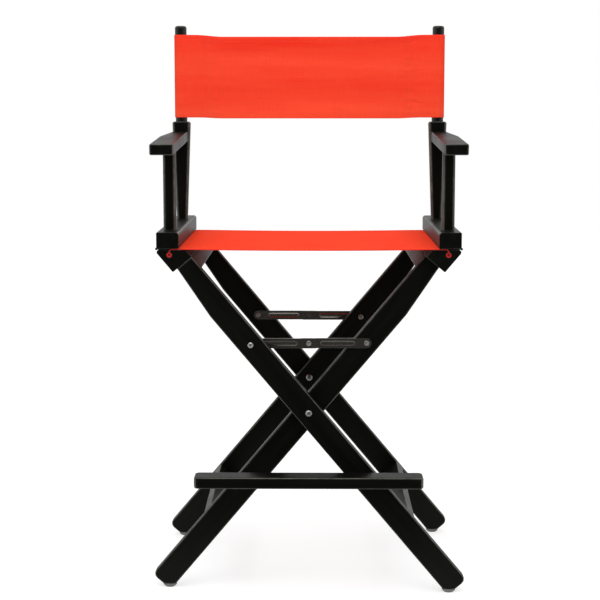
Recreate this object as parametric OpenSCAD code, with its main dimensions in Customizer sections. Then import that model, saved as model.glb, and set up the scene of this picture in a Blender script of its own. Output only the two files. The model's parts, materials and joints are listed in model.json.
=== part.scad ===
// Folding directors chair of counter height: black wooden frame, canvas seat and back, hinged footrest.
// The front looks toward -Y and +Z is up. The origin is on the floor, below the middle of the whole chair.
// The outer leg frame leans from lower right to upper left, the inner one the other way, and they cross at
// the pivot bolts. Each frame's rail carries one arm frame, and the canvases hang between the two sides.

/* [Legs] */
// Height of the pivot bolts above the floor
pivot_height = 322; // [300:1:345]
// Width of a leg, seen from the front
leg_w = 43; // [36:1:50]
// Thickness of a leg, front to back
leg_t = 19; // [16:1:24]
// Length of the level flat under a foot
foot_flat = 21.8; // [14:0.2:26]
// Width of a leg at its upper end
leg_top_w = 32.5; // [26:0.5:36]
// Length of the taper at the upper end of a leg
leg_taper = 100; // [60:5:140]
// Radius of the outer corner at the foot of a leg
foot_corner_r = 11; // [4:1:15]
// Depth of the outer leg frame, over both of its legs
frame_depth = 396; // [340:2:460]
// Gap between an outer leg and the inner leg beside it
leg_gap = 8; // [7.6:0.1:12]
// Rounding of the long edges of the legs and the footrest
edge_r = 3; // [1:0.5:4]

/* [Glides] */
// Diameter of a glide
glide_d = 24; // [18:1:28]
// Height of a glide's button
glide_h = 6; // [4:0.5:9]
// Diameter of the flat that touches the floor
glide_flat_d = 17; // [10:1:17]
// Diameter of the nail of a glide
glide_nail_d = 3; // [2:0.5:4]
// Length of the nail of a glide
glide_nail_len = 14; // [8:1:16]

/* [Top rails and stretchers] */
// Height of the rails' top faces above the floor
rail_top = 608; // [590:1:640]
// Distance that a rail's outer face lies inside the arm frame's outer face
rail_set_back = 0.5; // [0:0.1:3]
// Height of a rail's inner face
rail_inner_h = 12; // [8:0.5:20]
// Height of a rail's outer face
rail_outer_h = 6; // [5.5:0.5:8]
// Rounding of the edges of the rails and stretchers
rail_edge_r = 2; // [0.5:0.5:3]
// Height of an upper stretcher, along the leg
upper_stretcher_h = 26.5; // [18:0.5:40]
// Thickness of an upper stretcher, across the leg
upper_stretcher_t = 19; // [12:1:26]
// Thickness of a lower stretcher, along the leg
lower_stretcher_t = 19; // [12:1:24]
// Distance from the pivot to the middle of a lower stretcher, along the leg
lower_stretcher_at = 256.5; // [235:0.5:300]

/* [Seat canvas] */
// Thickness of the seat and back canvas
canvas_t = 1.2; // [1:0.1:1.4]
// Distance that the canvas and its dowels stay inside the rail ends
canvas_inset = 1; // [0.5:0.5:8]
// Distance from the arm frame's outer face to the groove for the hem
groove_in = 22; // [19:0.5:24]
// Depth of the groove from the rail's top to the middle of the dowel
groove_depth = 9; // [8:0.5:12]
// Rounding of the groove's lip, which the canvas bends over
groove_lip_r = 4; // [1:0.5:5]
// Diameter of the dowel in the hem
hem_dowel_d = 6; // [4:0.5:7]
// Clearance between cloth and what it touches
cloth_gap = 0.3; // [0.2:0.05:0.4]
// Gap between a rail and the arm frame above it
seat_gap = 2; // [1.9:0.05:2.4]

/* [Arm frames] */
// Distance from the middle of the chair to the arm frame's outer face
arm_out = 262; // [240:0.5:290]
// Width of the arm frame's bottom rail
arm_rail_w = 38.5; // [34:0.5:44]
// Height of the arm frame's bottom rail
arm_rail_h = 28; // [20:0.5:36]
// Reach of the arm frame's bottom rail past each end of the top rail below it
arm_overhang = 2; // [0:0.5:10]
// Rounding of the bottom rail's upper inner edge
arm_rail_inner_r = 5; // [2:0.5:9]
// Rounding of the bottom rail's lower outer edge, round the hinge
arm_rail_hinge_r = 4; // [3.8:0.1:6]
// Distance from the arm frame's outer face to the middle of the posts
post_in = 19; // [17:0.5:21]
// Width of a front post
front_post_w = 22; // [16:1:30]
// Thickness of a front post, front to back
front_post_t = 22; // [16:1:30]
// Rounding of the posts' upright edges
post_edge_r = 6; // [2:0.5:7]
// Distance from the bottom rail's front end to the front post
front_post_at = 47; // [30:1:80]
// Distance from the bottom rail's rear end to the rear post
rear_post_at = 78; // [50:1:110]
// Thickness of a rear post, front to back
rear_post_t = 24; // [20:1:30]
// Width of a rear post at its foot
rear_post_foot_w = 20; // [16:1:30]
// Width of a rear post at its top
rear_post_top_w = 34; // [26:1:40]
// Height of a rear post above the bottom rail
rear_post_h = 185; // [175:1:220]
// Bevel of the corners at a rear post's top
rear_post_bevel = 3; // [1:0.5:5]
// Width of an armrest
armrest_w = 41.5; // [34:0.5:50]
// Thickness of an armrest
armrest_t = 19; // [14:1:26]
// Distance from the arm frame's outer face to an armrest's inner edge
armrest_set_in = 31.5; // [29:0.5:35]
// Width of an armrest at its rear end
armrest_rear_w = 29; // [24:1:34]
// Length of the narrowing at an armrest's rear end
armrest_taper = 118; // [60:2:180]
// Height of an armrest's rear end above the bottom rail
armrest_rise = 166.5; // [130:0.5:172]
// Slope of the armrests, down toward the front
armrest_slope = 3; // [0:0.5:5]
// Overhang of an armrest past the front of the bottom rail
armrest_overhang = 4; // [0:1:20]
// Rounding of the armrests' edges
armrest_edge_r = 2.5; // [1:0.5:6]

/* [Sticks and back canvas] */
// Diameter of a stick
stick_d = 22; // [18:0.5:23]
// Length of a stick above its post
stick_len = 179; // [170:1:220]
// Rounding of a stick's top
stick_top_r = 4; // [1:0.5:8]
// Diameter of the tenon under a stick
tenon_d = 14; // [8:0.5:16]
// Length of the tenon under a stick
tenon_len = 32; // [20:1:45]
// Height of the back canvas's lower edge above the posts
back_gap = 8.5; // [4:0.5:12]
// Height of the back canvas
back_h = 153; // [120:1:165]
// Width of a sleeve of the back canvas
sleeve_w = 62; // [45:1:90]

/* [Arm hinges] */
// Length of a hinge
hinge_len = 51; // [36:1:80]
// Distance from the rail's end to the nearest hinge's end
hinge_inset = 6; // [2:1:40]
// Diameter of the hinge barrel
hinge_barrel_d = 4.5; // [4:0.1:4.7]
// Diameter of the hinge pin
hinge_pin_d = 2.2; // [1.8:0.1:2.6]
// Distance from the arm frame's outer face to the hinge pin
hinge_out = 0.7; // [0.5:0.1:1.5]
// Width of a hinge leaf
leaf_w = 16; // [10:0.5:17]
// Thickness of a hinge leaf
leaf_t = 0.9; // [0.7:0.05:0.9]
// Gap between the knuckles of a hinge
knuckle_gap = 0.3; // [0.2:0.05:0.6]

/* [Braces] */
// Distance from the pivot to a brace bolt, along the leg
brace_at = 157; // [130:1:175]
// Width of a brace link
brace_w = 17.6; // [14:0.2:22]
// Thickness of a brace link
brace_t = 1.8; // [1.4:0.1:2]
// Distance between a brace link and the leg that carries it
brace_stand_off = 1.4; // [1.3:0.1:1.6]
// Reach of a brace link past its middle rivet
brace_overlap = 15; // [10:1:24]
// Width of the pressed bead along a brace link
bead_w = 8.5; // [3:0.5:10]
// Height of the pressed bead, and depth of the hollow behind it
bead_h = 0.8; // [0.4:0.1:0.9]
// Distance from each hole of a link to the bead
bead_inset = 20; // [14:1:30]
// Diameter of the rivets and bolts of the braces
brace_bolt_d = 5; // [4:0.5:6]
// Diameter of a brace bolt's head
brace_head_d = 10.5; // [8:0.5:13]
// Height of a brace bolt's head
brace_head_h = 3; // [2:0.5:4]
// Diameter of the rivets' heads
rivet_head_d = 9; // [8:0.5:11]
// Height of the rivets' heads
rivet_head_h = 0.9; // [0.6:0.1:1]
// Diameter of the washers of the braces
brace_washer_d = 12; // [9:0.5:15]

/* [Pivots] */
// Diameter of the pivot bolts
pivot_bolt_d = 6; // [5:0.5:8]
// Diameter of a pivot bolt's head
pivot_head_d = 12; // [10:0.5:16]
// Height of a pivot bolt's head
pivot_head_h = 3.6; // [2.5:0.1:4.5]
// Diameter of the spacer between the legs
spacer_d = 18; // [14:1:24]
// Diameter of a cap nut
cap_nut_d = 14; // [12:0.5:18]
// Height of a cap nut
cap_nut_h = 6.5; // [5:0.5:9]
// Radial clearance of a turning shank in its hole
running_gap = 0.05; // [0.02:0.01:0.09]
// Gap between a turning piece and what it turns against
side_gap = 0.1; // [0.05:0.05:0.3]

/* [Footrest] */
// Length of the footrest board
footrest_len = 396; // [340:2:440]
// Depth of the footrest board, front to back
footrest_depth = 42; // [36:1:60]
// Thickness of the footrest board
footrest_t = 20; // [18:1:26]
// Height of the middle of the footrest board above the floor
footrest_height = 209; // [190:1:230]
// Gap between the front legs and the footrest board
footrest_stand_off = 6; // [5:0.5:10]
// Rounding of the footrest board's corners, seen from above
footrest_corner_r = 8; // [3:1:16]
// Diameter of the footrest's pivot bolt
footrest_bolt_d = 6; // [5:0.5:8]
// Length of the pivot bolt inside the board
footrest_bolt_grip = 30; // [20:1:34]
// Diameter of the footrest spacer
footrest_spacer_d = 16; // [12:1:20]
// Diameter of the peg that the board hooks over
peg_d = 10; // [8:0.5:11]
// Length of the peg inside the board
peg_grip = 13; // [8:1:20]
// Clearance between the peg and its notch
peg_gap = 0.3; // [0.2:0.05:0.6]
// Slope of the notch's side that the peg leaves by
notch_slope = 34; // [20:1:38]

/* [Hidden] */
$fn = 48;
arc_steps = 3;
post_arc_steps = 6;
lip_steps = 5;
lip_wall = 0.2;
rear_post_soft = 1.5;
sleeve_steps = 22;
cut_over = 1;
reach_far = 1200;
black_wood = [0.08, 0.08, 0.085];
orange_canvas = [1.0, 0.27, 0.16];
bright_steel = [0.62, 0.62, 0.64];
grey_plastic = [0.45, 0.45, 0.46];

// Front and back faces of the outer and inner legs, measured from the middle plane of the leg frames
outer_far = frame_depth / 2;
outer_near = outer_far - leg_t;
inner_far = outer_near - leg_gap;
inner_near = inner_far - leg_t;
gap_middle = (outer_near + inner_far) / 2;

// The footrest reaches further to the front than the bolt heads do to the rear, so the leg frames stand
// behind the origin by half of the difference
arm_front = -outer_far - arm_overhang;
front_reach = max(outer_far + footrest_stand_off + footrest_depth, armrest_overhang - arm_front);
rear_reach = max(outer_far + max(pivot_head_h, brace_head_h), -arm_front);
frames_y = (front_reach - rear_reach) / 2;

// The middle line of each leg aims at the mouth of the groove in its rail
groove_x = arm_out - groove_in;
leg_lean = round(10 * atan2(rail_top - pivot_height, groove_x)) / 10;
leg_above = (rail_top - rail_inner_h - pivot_height - leg_w / 2 * cos(leg_lean)) / sin(leg_lean);
heel_x = (pivot_height - glide_h) / tan(leg_lean) - leg_w / 2 / sin(leg_lean);
leg_below = (heel_x + foot_flat) * cos(leg_lean) + (pivot_height - glide_h) * sin(leg_lean);
foot_x = heel_x + foot_flat / 2;
rail_out = arm_out - rail_set_back;
rail_drop = rail_out * sin(leg_lean) - (rail_top - rail_outer_h - pivot_height) * cos(leg_lean);
rail_hinge_r = min(arm_rail_hinge_r, rail_outer_h - rail_edge_r / 2);

brace_x = brace_at * cos(leg_lean);
brace_z = pivot_height + brace_at * sin(leg_lean);
arm_bottom = rail_top + seat_gap;
arm_rail_top = arm_bottom + arm_rail_h;
arm_in = arm_out - arm_rail_w;
post_x = arm_out - post_in;
armrest_in = arm_out - armrest_set_in;
front_post_y = arm_front + front_post_at;
rear_post_y = -arm_front - rear_post_at - rear_post_t;
rear_post_top = arm_rail_top + rear_post_h;
armrest_rear_top = arm_rail_top + armrest_rise;
stick_top = rear_post_top + stick_len;
back_bottom = rear_post_top + back_gap;
stick_y = rear_post_y + rear_post_t / 2;
armrest_front = arm_front - armrest_overhang;
hinge_x = arm_out + hinge_out;
hinge_z = rail_top + seat_gap / 2;
rail_inner_along = (rail_top - pivot_height - leg_w / 2 * cos(leg_lean)) / sin(leg_lean);
rail_inner_x = rail_inner_along * cos(leg_lean) - leg_w / 2 * sin(leg_lean);
canvas_depth = frame_depth - 2 * canvas_inset;
canvas_bottom = rail_top + cloth_gap;
dowel_z = rail_top - groove_depth;
hem_in_r = hem_dowel_d / 2 + cloth_gap;
hem_out_r = hem_in_r + canvas_t;
lip_r = min(groove_lip_r, groove_depth - hem_out_r - cloth_gap - lip_wall);
lip_x = groove_x - canvas_t / 2 - cloth_gap - lip_r;
lip_z = rail_top - lip_r;
sleeve_in_r = stick_d / 2 + cloth_gap;
sleeve_out_r = sleeve_in_r + canvas_t;
footrest_back = outer_far + footrest_stand_off;
footrest_front = footrest_back + footrest_depth;
footrest_bottom = footrest_height - footrest_t / 2;
footrest_bolt_along = (pivot_height - footrest_height) / sin(leg_lean);
footrest_bolt_x = footrest_bolt_along * cos(leg_lean);
peg_z = footrest_bottom + peg_d / 2;
peg_along = (pivot_height - peg_z) / sin(leg_lean);
peg_x = peg_along * cos(leg_lean);
peg_stub_d = footrest_bolt_d;
peg_stub_len = leg_t - 4;
link_outer = outer_near - brace_stand_off;
link_inner = link_outer - brace_t;
bead_r = (bead_w * bead_w / 4 + bead_h * bead_h) / (2 * bead_h);

// Points of the arc that rounds the corner at b, between the edges to a and to c
function corner_arc(a, b, c, r, steps) =
    let (
        to_a = (a - b) / norm(a - b),
        to_c = (c - b) / norm(c - b),
        half = acos(to_a * to_c) / 2,
        centre = b + (to_a + to_c) / norm(to_a + to_c) * r / sin(half),
        start = b + to_a * r / tan(half) - centre,
        finish = b + to_c * r / tan(half) - centre,
        first = atan2(start.y, start.x),
        turn = (atan2(finish.y, finish.x) - first + 540) % 360 - 180
    )
    r == 0 ? [b] : [for (i = [0:steps]) centre + r * [cos(first + turn * i / steps),
                                                      sin(first + turn * i / steps)]];

// Outline with each corner rounded by its own radius
function rounded(points, radii, steps = arc_steps) =
    let (n = len(points))
    [for (i = [0:n - 1])
        each corner_arc(points[(i + n - 1) % n], points[i], points[(i + 1) % n], radii[i], steps)];

// Outline with all of its corners rounded alike
function rounded_alike(points, r, steps = arc_steps) = rounded(points, [for (p = points) r], steps);

// Corners of a rectangle, counterclockwise
function box_corners(x0, y0, x1, y1) = [[x0, y0], [x1, y0], [x1, y1], [x0, y1]];

// Points in the opposite order, and points seen in a mirror on the middle plane
function backward(points) = [for (i = [len(points) - 1:-1:0]) points[i]];
function mirrored(points) = [for (p = points) [-p.x, p.y]];

// Place in the front view of a point of the outer frame, given along the leg from the pivot and across it
function frame_point(along, across) = [
    across * sin(leg_lean) - along * cos(leg_lean),
    pivot_height + along * sin(leg_lean) + across * cos(leg_lean)
];

// Side of a plate in section: rounded by soft at its lower and upper edge, and open past both faces
function soft_side(t, soft, steps) =
    let (
        step = 90 / steps,
        low = [for (i = [0:steps - 1]) soft * [1 - cos(i * step), 1 - sin(i * step)]],
        past = 2 * [soft, 0] - low[steps - 1]
    )
    concat(
        [[reach_far, past.y], past],
        [for (i = [steps - 1:-1:0]) low[i]],
        [for (p = low) [p.x, t - p.y]],
        [[past.x, t - past.y], [reach_far, t - past.y]]
    );

// Plate of thickness t on a convex counterclockwise outline, with its edges rounded by soft all round
module soft_plate(points, radii, t, soft, steps = arc_steps) {
    outline = rounded(points, radii);
    n = len(outline);
    intersection() {
        translate([-reach_far, -reach_far, 0]) cube([2 * reach_far, 2 * reach_far, t]);
        intersection_for(i = [0:n - 1]) {
            edge = outline[(i + 1) % n] - outline[i];
            translate([outline[i].x, outline[i].y, 0])
                rotate([0, 0, atan2(edge.y, edge.x)])
                    translate([-reach_far, 0, 0])
                        rotate([90, 0, 90]) linear_extrude(2 * reach_far) polygon(soft_side(t, soft, steps));
        }
    }
}

// Turns a plate drawn flat into one seen from the front, between y0 and y1
module upright(y1) {
    translate([0, y1, 0]) rotate([90, 0, 0]) children();
}

// Prism whose outline is given in the front view, between y0 and y1
module prism_y(points, y0, y1) {
    upright(y1) linear_extrude(y1 - y0) polygon(points);
}

// Round rod along Y between y0 and y1
module rod_y(x, z, d, y0, y1) {
    translate([x, y1, z]) rotate([90, 0, 0]) cylinder(d = d, h = y1 - y0);
}

// Moves what is drawn round the middle plane of the leg frames to its place behind the origin
module placed() {
    translate([0, frames_y, 0]) children();
}

// The rear end is the front end seen in a mirror
module at_end(end) {
    if (end == "front") children();
    else mirror([0, 1, 0]) children();
}

// The right side is the left side seen in a mirror
module at_side(side) {
    if (side == "left") children();
    else mirror([1, 0, 0]) children();
}

// The inner frame's fittings are the outer frame's, turned half round about the middle of the gap
module in_gap(frame) {
    if (frame == "outer") children();
    else translate([0, -gap_middle, 0]) rotate([0, 0, 180]) translate([0, gap_middle, 0]) children();
}

function frame_side(frame) = frame == "outer" ? "left" : "right";
function leg_far(frame) = frame == "outer" ? outer_far : inner_far;

// A leg: tapered at its upper end, cut level at the glide and rounded at the foot's outer corner
module leg(frame, end) {
    far = leg_far(frame);
    half = leg_w / 2;
    floor_along = (glide_h - pivot_height + half * cos(leg_lean)) / sin(leg_lean);
    end_across = (glide_h - pivot_height + leg_below * sin(leg_lean)) / cos(leg_lean);
    outline = [
        frame_point(leg_above, half),
        frame_point(leg_above, half - leg_top_w),
        frame_point(leg_above - leg_taper, -half),
        frame_point(floor_along, -half),
        frame_point(-leg_below, end_across),
        frame_point(-leg_below, half)
    ];
    color(black_wood) placed() at_end(end) at_side(frame_side(frame)) difference() {
        upright(leg_t - far)
            soft_plate(outline, [0, 0, 0, 0, 0, foot_corner_r], leg_t, edge_r);
        leg_hole(0, pivot_bolt_d, far);
        leg_hole(brace_at, brace_bolt_d, far);
        leg_glide_hole(far);
        if (end == "front" && frame == "outer") leg_hole(-footrest_bolt_along, footrest_bolt_d, far);
        if (end == "front" && frame == "inner") peg_hole(far);
    }
}

// Hole through a leg, on its middle line
module leg_hole(along, d, far) {
    place = frame_point(along, 0);
    rod_y(place.x, place.y, d + 2 * running_gap, -far - cut_over, leg_t - far + cut_over);
}

// Blind hole for the stub of the footrest's peg
module peg_hole(far) {
    place = frame_point(-peg_along, 0);
    rod_y(place.x, place.y, peg_stub_d + 2 * running_gap, -far - cut_over, peg_stub_len + side_gap - far);
}

module leg_glide_hole(far) {
    translate([foot_x, leg_t / 2 - far, glide_h - cut_over])
        cylinder(d = glide_nail_d + 2 * running_gap, h = glide_nail_len + side_gap + cut_over);
}

// Nail-on button glides under the two legs of a frame
module glides(frame) {
    color(grey_plastic) placed() for (end = ["front", "rear"]) at_end(end) at_side(frame_side(frame))
        translate([foot_x, leg_t / 2 - leg_far(frame), 0]) glide();
}

module glide() {
    profile = rounded(
        [[0, 0], [glide_flat_d / 2, 0], [glide_d / 2, glide_h * 0.6], [glide_d / 2, glide_h], [0, glide_h]],
        [0, 2, 2, 0, 0]
    );
    rotate_extrude() polygon(profile);
    translate([0, 0, glide_h - cut_over]) cylinder(d = glide_nail_d, h = glide_nail_len + cut_over);
}

// Arc round the lip's middle, from its top to the side that faces the groove
function lip_arc(r) = [
    for (i = [0:lip_steps]) let (a = 90 + 90 * i / lip_steps) [r * cos(a) - lip_x, r * sin(a) + lip_z]
];

// Mouth of the groove in section: straight on its outer side and rounded over the lip on its inner side
function groove_mouth() = concat(
    [[-lip_x, rail_top + cut_over]],
    lip_arc(lip_r),
    [
        [-groove_x + canvas_t / 2 + cloth_gap, dowel_z],
        [-groove_x - canvas_t / 2 - cloth_gap, dowel_z],
        [-groove_x - canvas_t / 2 - cloth_gap, rail_top + cut_over]
    ]
);

// Rail across the top of a frame's legs, with the keyhole groove for the seat canvas's hem
module top_rail(frame) {
    half = leg_w / 2;
    section = [
        frame_point(leg_above, half),
        [-rail_inner_x, rail_top],
        [-rail_out, rail_top],
        [-rail_out, rail_top - rail_outer_h],
        frame_point(leg_above, -rail_drop)
    ];
    color(black_wood) placed() at_side(frame_side(frame)) difference() {
        prism_y(rounded(section, [0.5, rail_edge_r, rail_hinge_r, rail_edge_r, rail_edge_r]),
                -outer_far, outer_far);
        rod_y(-groove_x, dowel_z, 2 * (hem_out_r + cloth_gap), -outer_far - cut_over, outer_far + cut_over);
        prism_y(groove_mouth(), -outer_far - cut_over, outer_far + cut_over);
    }
}

// Board between the legs of a frame, given along and across the leg
module stretcher(frame, along0, along1, across0, across1) {
    section = [
        frame_point(along0, across0),
        frame_point(along0, across1),
        frame_point(along1, across1),
        frame_point(along1, across0)
    ];
    span = leg_far(frame) - leg_t;
    color(black_wood) placed() at_side(frame_side(frame))
        prism_y(rounded_alike(section, rail_edge_r), -span, span);
}

module upper_stretcher(frame) {
    stretcher(frame, leg_above - upper_stretcher_h, leg_above, leg_w / 2 - upper_stretcher_t, leg_w / 2);
}

module lower_stretcher(frame) {
    middle = -lower_stretcher_at;
    stretcher(frame, middle - lower_stretcher_t / 2, middle + lower_stretcher_t / 2, -leg_w / 2, leg_w / 2);
}

// Bolt with a domed head on the leg's outward side, drawn along Y with its head at y = 0
module pan_head(d, h) {
    rotate([90, 0, 0]) rotate_extrude()
        polygon(rounded([[0, 0], [d / 2, 0], [d / 2 * 0.86, h], [0, h]], [0, 0, h * 0.6, 0]));
}

// Bolts where the legs cross: the head is outside the outer leg, the end is inside the cap nut
module pivot_bolts() {
    color(bright_steel) placed() for (end = ["front", "rear"]) at_end(end) {
        translate([0, -outer_far, pivot_height]) pan_head(pivot_head_d, pivot_head_h);
        rod_y(0, pivot_height, pivot_bolt_d, -outer_far - cut_over, cap_nut_h / 2 - inner_near);
    }
}

module pivot_spacers() {
    color(grey_plastic) placed() for (end = ["front", "rear"]) at_end(end) difference() {
        rod_y(0, pivot_height, spacer_d, side_gap - outer_near, -inner_far - side_gap);
        rod_y(0, pivot_height, pivot_bolt_d + 2 * running_gap, -outer_near, -inner_far);
    }
}

module pivot_cap_nuts() {
    color(bright_steel) placed() for (end = ["front", "rear"]) at_end(end) difference() {
        translate([0, side_gap - inner_near, pivot_height]) mirror([0, 1, 0]) pan_head(cap_nut_d, cap_nut_h);
        rod_y(0, pivot_height, pivot_bolt_d + 2 * running_gap, -inner_near - cut_over,
              cap_nut_h / 2 + side_gap - inner_near);
    }
}

// Bolts that carry the braces: head outside the leg, peened end inside the gap
module brace_bolts(frame) {
    tail = -link_inner + side_gap * 3;
    color(bright_steel) placed() for (end = ["front", "rear"]) at_end(end) in_gap(frame) {
        translate([-brace_x, -outer_far, brace_z]) pan_head(brace_head_d, brace_head_h);
        rod_y(-brace_x, brace_z, brace_bolt_d, -outer_far - cut_over, tail + rivet_head_h / 2);
        rod_y(-brace_x, brace_z, rivet_head_d, tail, tail + rivet_head_h);
    }
}

module brace_washers(frame) {
    color(bright_steel) placed() for (end = ["front", "rear"]) at_end(end) in_gap(frame) difference() {
        rod_y(-brace_x, brace_z, brace_washer_d, -outer_near, -link_outer - side_gap * 3);
        rod_y(-brace_x, brace_z, brace_bolt_d + 2 * running_gap, -outer_near - cut_over, -link_inner);
    }
}

// Rounded bar of radius bead_r with ball ends, whose front stands out of the plane y = 0 by bead_h
module bead_bar() {
    left = bead_inset - brace_x + bead_w / 2;
    right = -bead_inset - bead_w / 2;
    translate([0, bead_r - bead_h, 0]) {
        translate([left, 0, 0]) rotate([0, 90, 0]) cylinder(r = bead_r, h = right - left);
        for (x = [left, right]) translate([x, 0, 0]) sphere(r = bead_r);
    }
}

// Half of a folding brace: a flat link with a pressed bead, from the brace bolt to the middle rivet
module brace_link(end, frame) {
    half = brace_w / 2;
    plate = rounded(
        box_corners(-brace_x - half, -half, brace_overlap, half),
        [half - 0.1, 3, 3, half - 0.1]
    );
    color(bright_steel) placed() at_end(end) in_gap(frame) difference() {
        translate([0, 0, brace_z]) {
            prism_y(plate, -link_outer, -link_inner);
            intersection() {
                translate([0, -link_outer, 0]) bead_bar();
                translate([-brace_x, -link_outer - bead_h - cut_over, -brace_w / 2])
                    cube([brace_x, bead_h + cut_over + brace_t / 4, brace_w]);
            }
        }
        translate([0, -link_inner, brace_z]) bead_bar();
        rod_y(-brace_x, brace_z, brace_bolt_d + 2 * running_gap, -outer_near, -gap_middle);
        rod_y(0, brace_z, brace_bolt_d + 2 * running_gap, -outer_near, -gap_middle);
    }
}

// Half of the middle rivet, which meets the other link's half at the middle of the gap
module brace_rivet(end, frame) {
    color(bright_steel) placed() at_end(end) in_gap(frame) {
        rod_y(0, brace_z, rivet_head_d, -link_outer - rivet_head_h, -link_outer);
        rod_y(0, brace_z, brace_bolt_d, -link_outer - rivet_head_h / 2, -gap_middle - side_gap * 1.5);
        rod_y(0, brace_z, brace_washer_d, -link_inner, -gap_middle - side_gap * 1.5);
    }
}

// Seat canvas: a taut sheet whose hems go down into the rails' grooves and round the dowels
module seat_canvas() {
    half_depth = canvas_depth / 2;
    hem_z = dowel_z + hem_in_r + canvas_t / 4;
    upper = concat(lip_arc(lip_r + cloth_gap + canvas_t), [[-groove_x - canvas_t / 2, hem_z]]);
    lower = concat(lip_arc(lip_r + cloth_gap), [[-groove_x + canvas_t / 2, hem_z]]);
    section = concat(upper, backward(lower), mirrored(lower), backward(mirrored(upper)));
    color(orange_canvas) placed() {
        prism_y(section, -half_depth, half_depth);
        for (side = ["left", "right"]) at_side(side) difference() {
            rod_y(-groove_x, dowel_z, 2 * hem_out_r, -half_depth, half_depth);
            rod_y(-groove_x, dowel_z, 2 * hem_in_r, -half_depth - cut_over, half_depth + cut_over);
        }
    }
}

module seat_dowel(side) {
    color(black_wood) placed() at_side(side)
        rod_y(-groove_x, dowel_z, hem_dowel_d, -canvas_depth / 2, canvas_depth / 2);
}

// Bottom rail of an arm frame, rounded on top inside and at the hinge below outside
module arm_rail(side) {
    section = box_corners(-arm_out, arm_bottom, -arm_in, arm_rail_top);
    color(black_wood) placed() at_side(side)
        prism_y(rounded(section, [arm_rail_hinge_r, rail_edge_r, arm_rail_inner_r, rail_edge_r]),
                arm_front, -arm_front);
}

// Space below the sloping armrests
module below_armrest() {
    translate([0, rear_post_y, armrest_rear_top]) rotate([armrest_slope, 0, 0])
        translate([-reach_far, -reach_far, -reach_far - armrest_t])
            cube([2 * reach_far, 2 * reach_far, reach_far]);
}

module front_post(side) {
    section = box_corners(-post_x - front_post_w / 2, front_post_y,
                          -post_x + front_post_w / 2, front_post_y + front_post_t);
    color(black_wood) placed() at_side(side) intersection() {
        translate([0, 0, arm_rail_top])
            linear_extrude(armrest_rear_top - arm_rail_top)
                polygon(rounded_alike(section, post_edge_r, post_arc_steps));
        below_armrest();
    }
}

// Half of a rear post's width at a height above the bottom rail
function rear_post_half(z) =
    (rear_post_foot_w + (rear_post_top_w - rear_post_foot_w) * z / (rear_post_h - rear_post_bevel)) / 2;

// Rear post: wider toward its bevelled top, where it carries the stick, with well rounded upright edges
module rear_post(side) {
    low = -2 * post_edge_r;
    high = rear_post_h + 2 * post_edge_r;
    shaft = [
        [-rear_post_half(low), low],
        [rear_post_half(low), low],
        [rear_post_half(high), high],
        [-rear_post_half(high), high]
    ];
    head = [
        [-rear_post_top_w / 2, low],
        [rear_post_top_w / 2, low],
        [rear_post_top_w / 2, rear_post_h - rear_post_bevel],
        [rear_post_top_w / 2 - rear_post_bevel, rear_post_h],
        [rear_post_bevel - rear_post_top_w / 2, rear_post_h],
        [-rear_post_top_w / 2, rear_post_h - rear_post_bevel]
    ];
    color(black_wood) placed() at_side(side) difference() {
        intersection() {
            translate([-post_x, 0, arm_rail_top]) upright(rear_post_y + rear_post_t) intersection() {
                soft_plate(shaft, [0, 0, 0, 0], rear_post_t, post_edge_r, post_arc_steps);
                soft_plate(head, [0, 0, 0, 0, 0, 0], rear_post_t, rear_post_soft);
            }
            translate([-reach_far / 2, -reach_far / 2, arm_rail_top]) cube(reach_far);
        }
        translate([-post_x, stick_y, rear_post_top - tenon_len - side_gap])
            cylinder(d = tenon_d + 2 * running_gap, h = tenon_len + cut_over);
    }
}

// Armrest: slopes down to the front and narrows on its outer side toward the rear post
module armrest(side) {
    len = (rear_post_y - armrest_front) / cos(armrest_slope);
    plan = [
        [-armrest_in - armrest_w, -len],
        [-armrest_in, -len],
        [-armrest_in, 0],
        [-armrest_in - armrest_rear_w, 0],
        [-armrest_in - armrest_w, -armrest_taper]
    ];
    front_corner_r = armrest_edge_r + 1.5;
    color(black_wood) placed() at_side(side)
        intersection() {
            translate([0, rear_post_y, armrest_rear_top]) rotate([armrest_slope, 0, 0])
                translate([0, cut_over, -armrest_t])
                    soft_plate(plan, [front_corner_r, front_corner_r, 0, 0, 0], armrest_t, armrest_edge_r);
            translate([-reach_far / 2, rear_post_y - reach_far, 0]) cube([reach_far, reach_far, reach_far]);
        }
}

// Round stick that carries the back canvas, with its tenon
module stick(side) {
    r = stick_d / 2;
    profile = rounded(
        [[0, -tenon_len], [tenon_d / 2, -tenon_len], [tenon_d / 2, 0], [r, 0],
         [r, stick_top - rear_post_top], [0, stick_top - rear_post_top]],
        [0, 1, 0, 1, stick_top_r, 0]
    );
    color(black_wood) placed() at_side(side)
        translate([-post_x, stick_y, rear_post_top]) rotate_extrude() polygon(profile);
}

// Teardrop round a stick, seen from above: an arc and the tangents from its ends to the seam
module sleeve_outline(r, seam) {
    lean = acos(r / seam);
    turn = 360 - 2 * lean;
    arc = [for (i = [0:sleeve_steps]) let (a = lean + turn * i / sleeve_steps) r * [cos(a), sin(a)]];
    polygon(concat([[seam, 0]], arc));
}

// Back canvas: one layer between the seams, and a sleeve of two layers round each stick
module back_canvas() {
    seam = sleeve_w - sleeve_out_r;
    color(orange_canvas) placed() translate([0, stick_y, back_bottom]) {
        translate([seam - post_x - canvas_t * 4, -canvas_t / 2, 0])
            cube([2 * (post_x - seam + canvas_t * 4), canvas_t, back_h]);
        for (side = ["left", "right"]) at_side(side) translate([-post_x, 0, 0])
            linear_extrude(back_h) difference() {
                sleeve_outline(sleeve_out_r, seam);
                sleeve_outline(sleeve_in_r, seam - canvas_t * 4);
            }
    }
}

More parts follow.
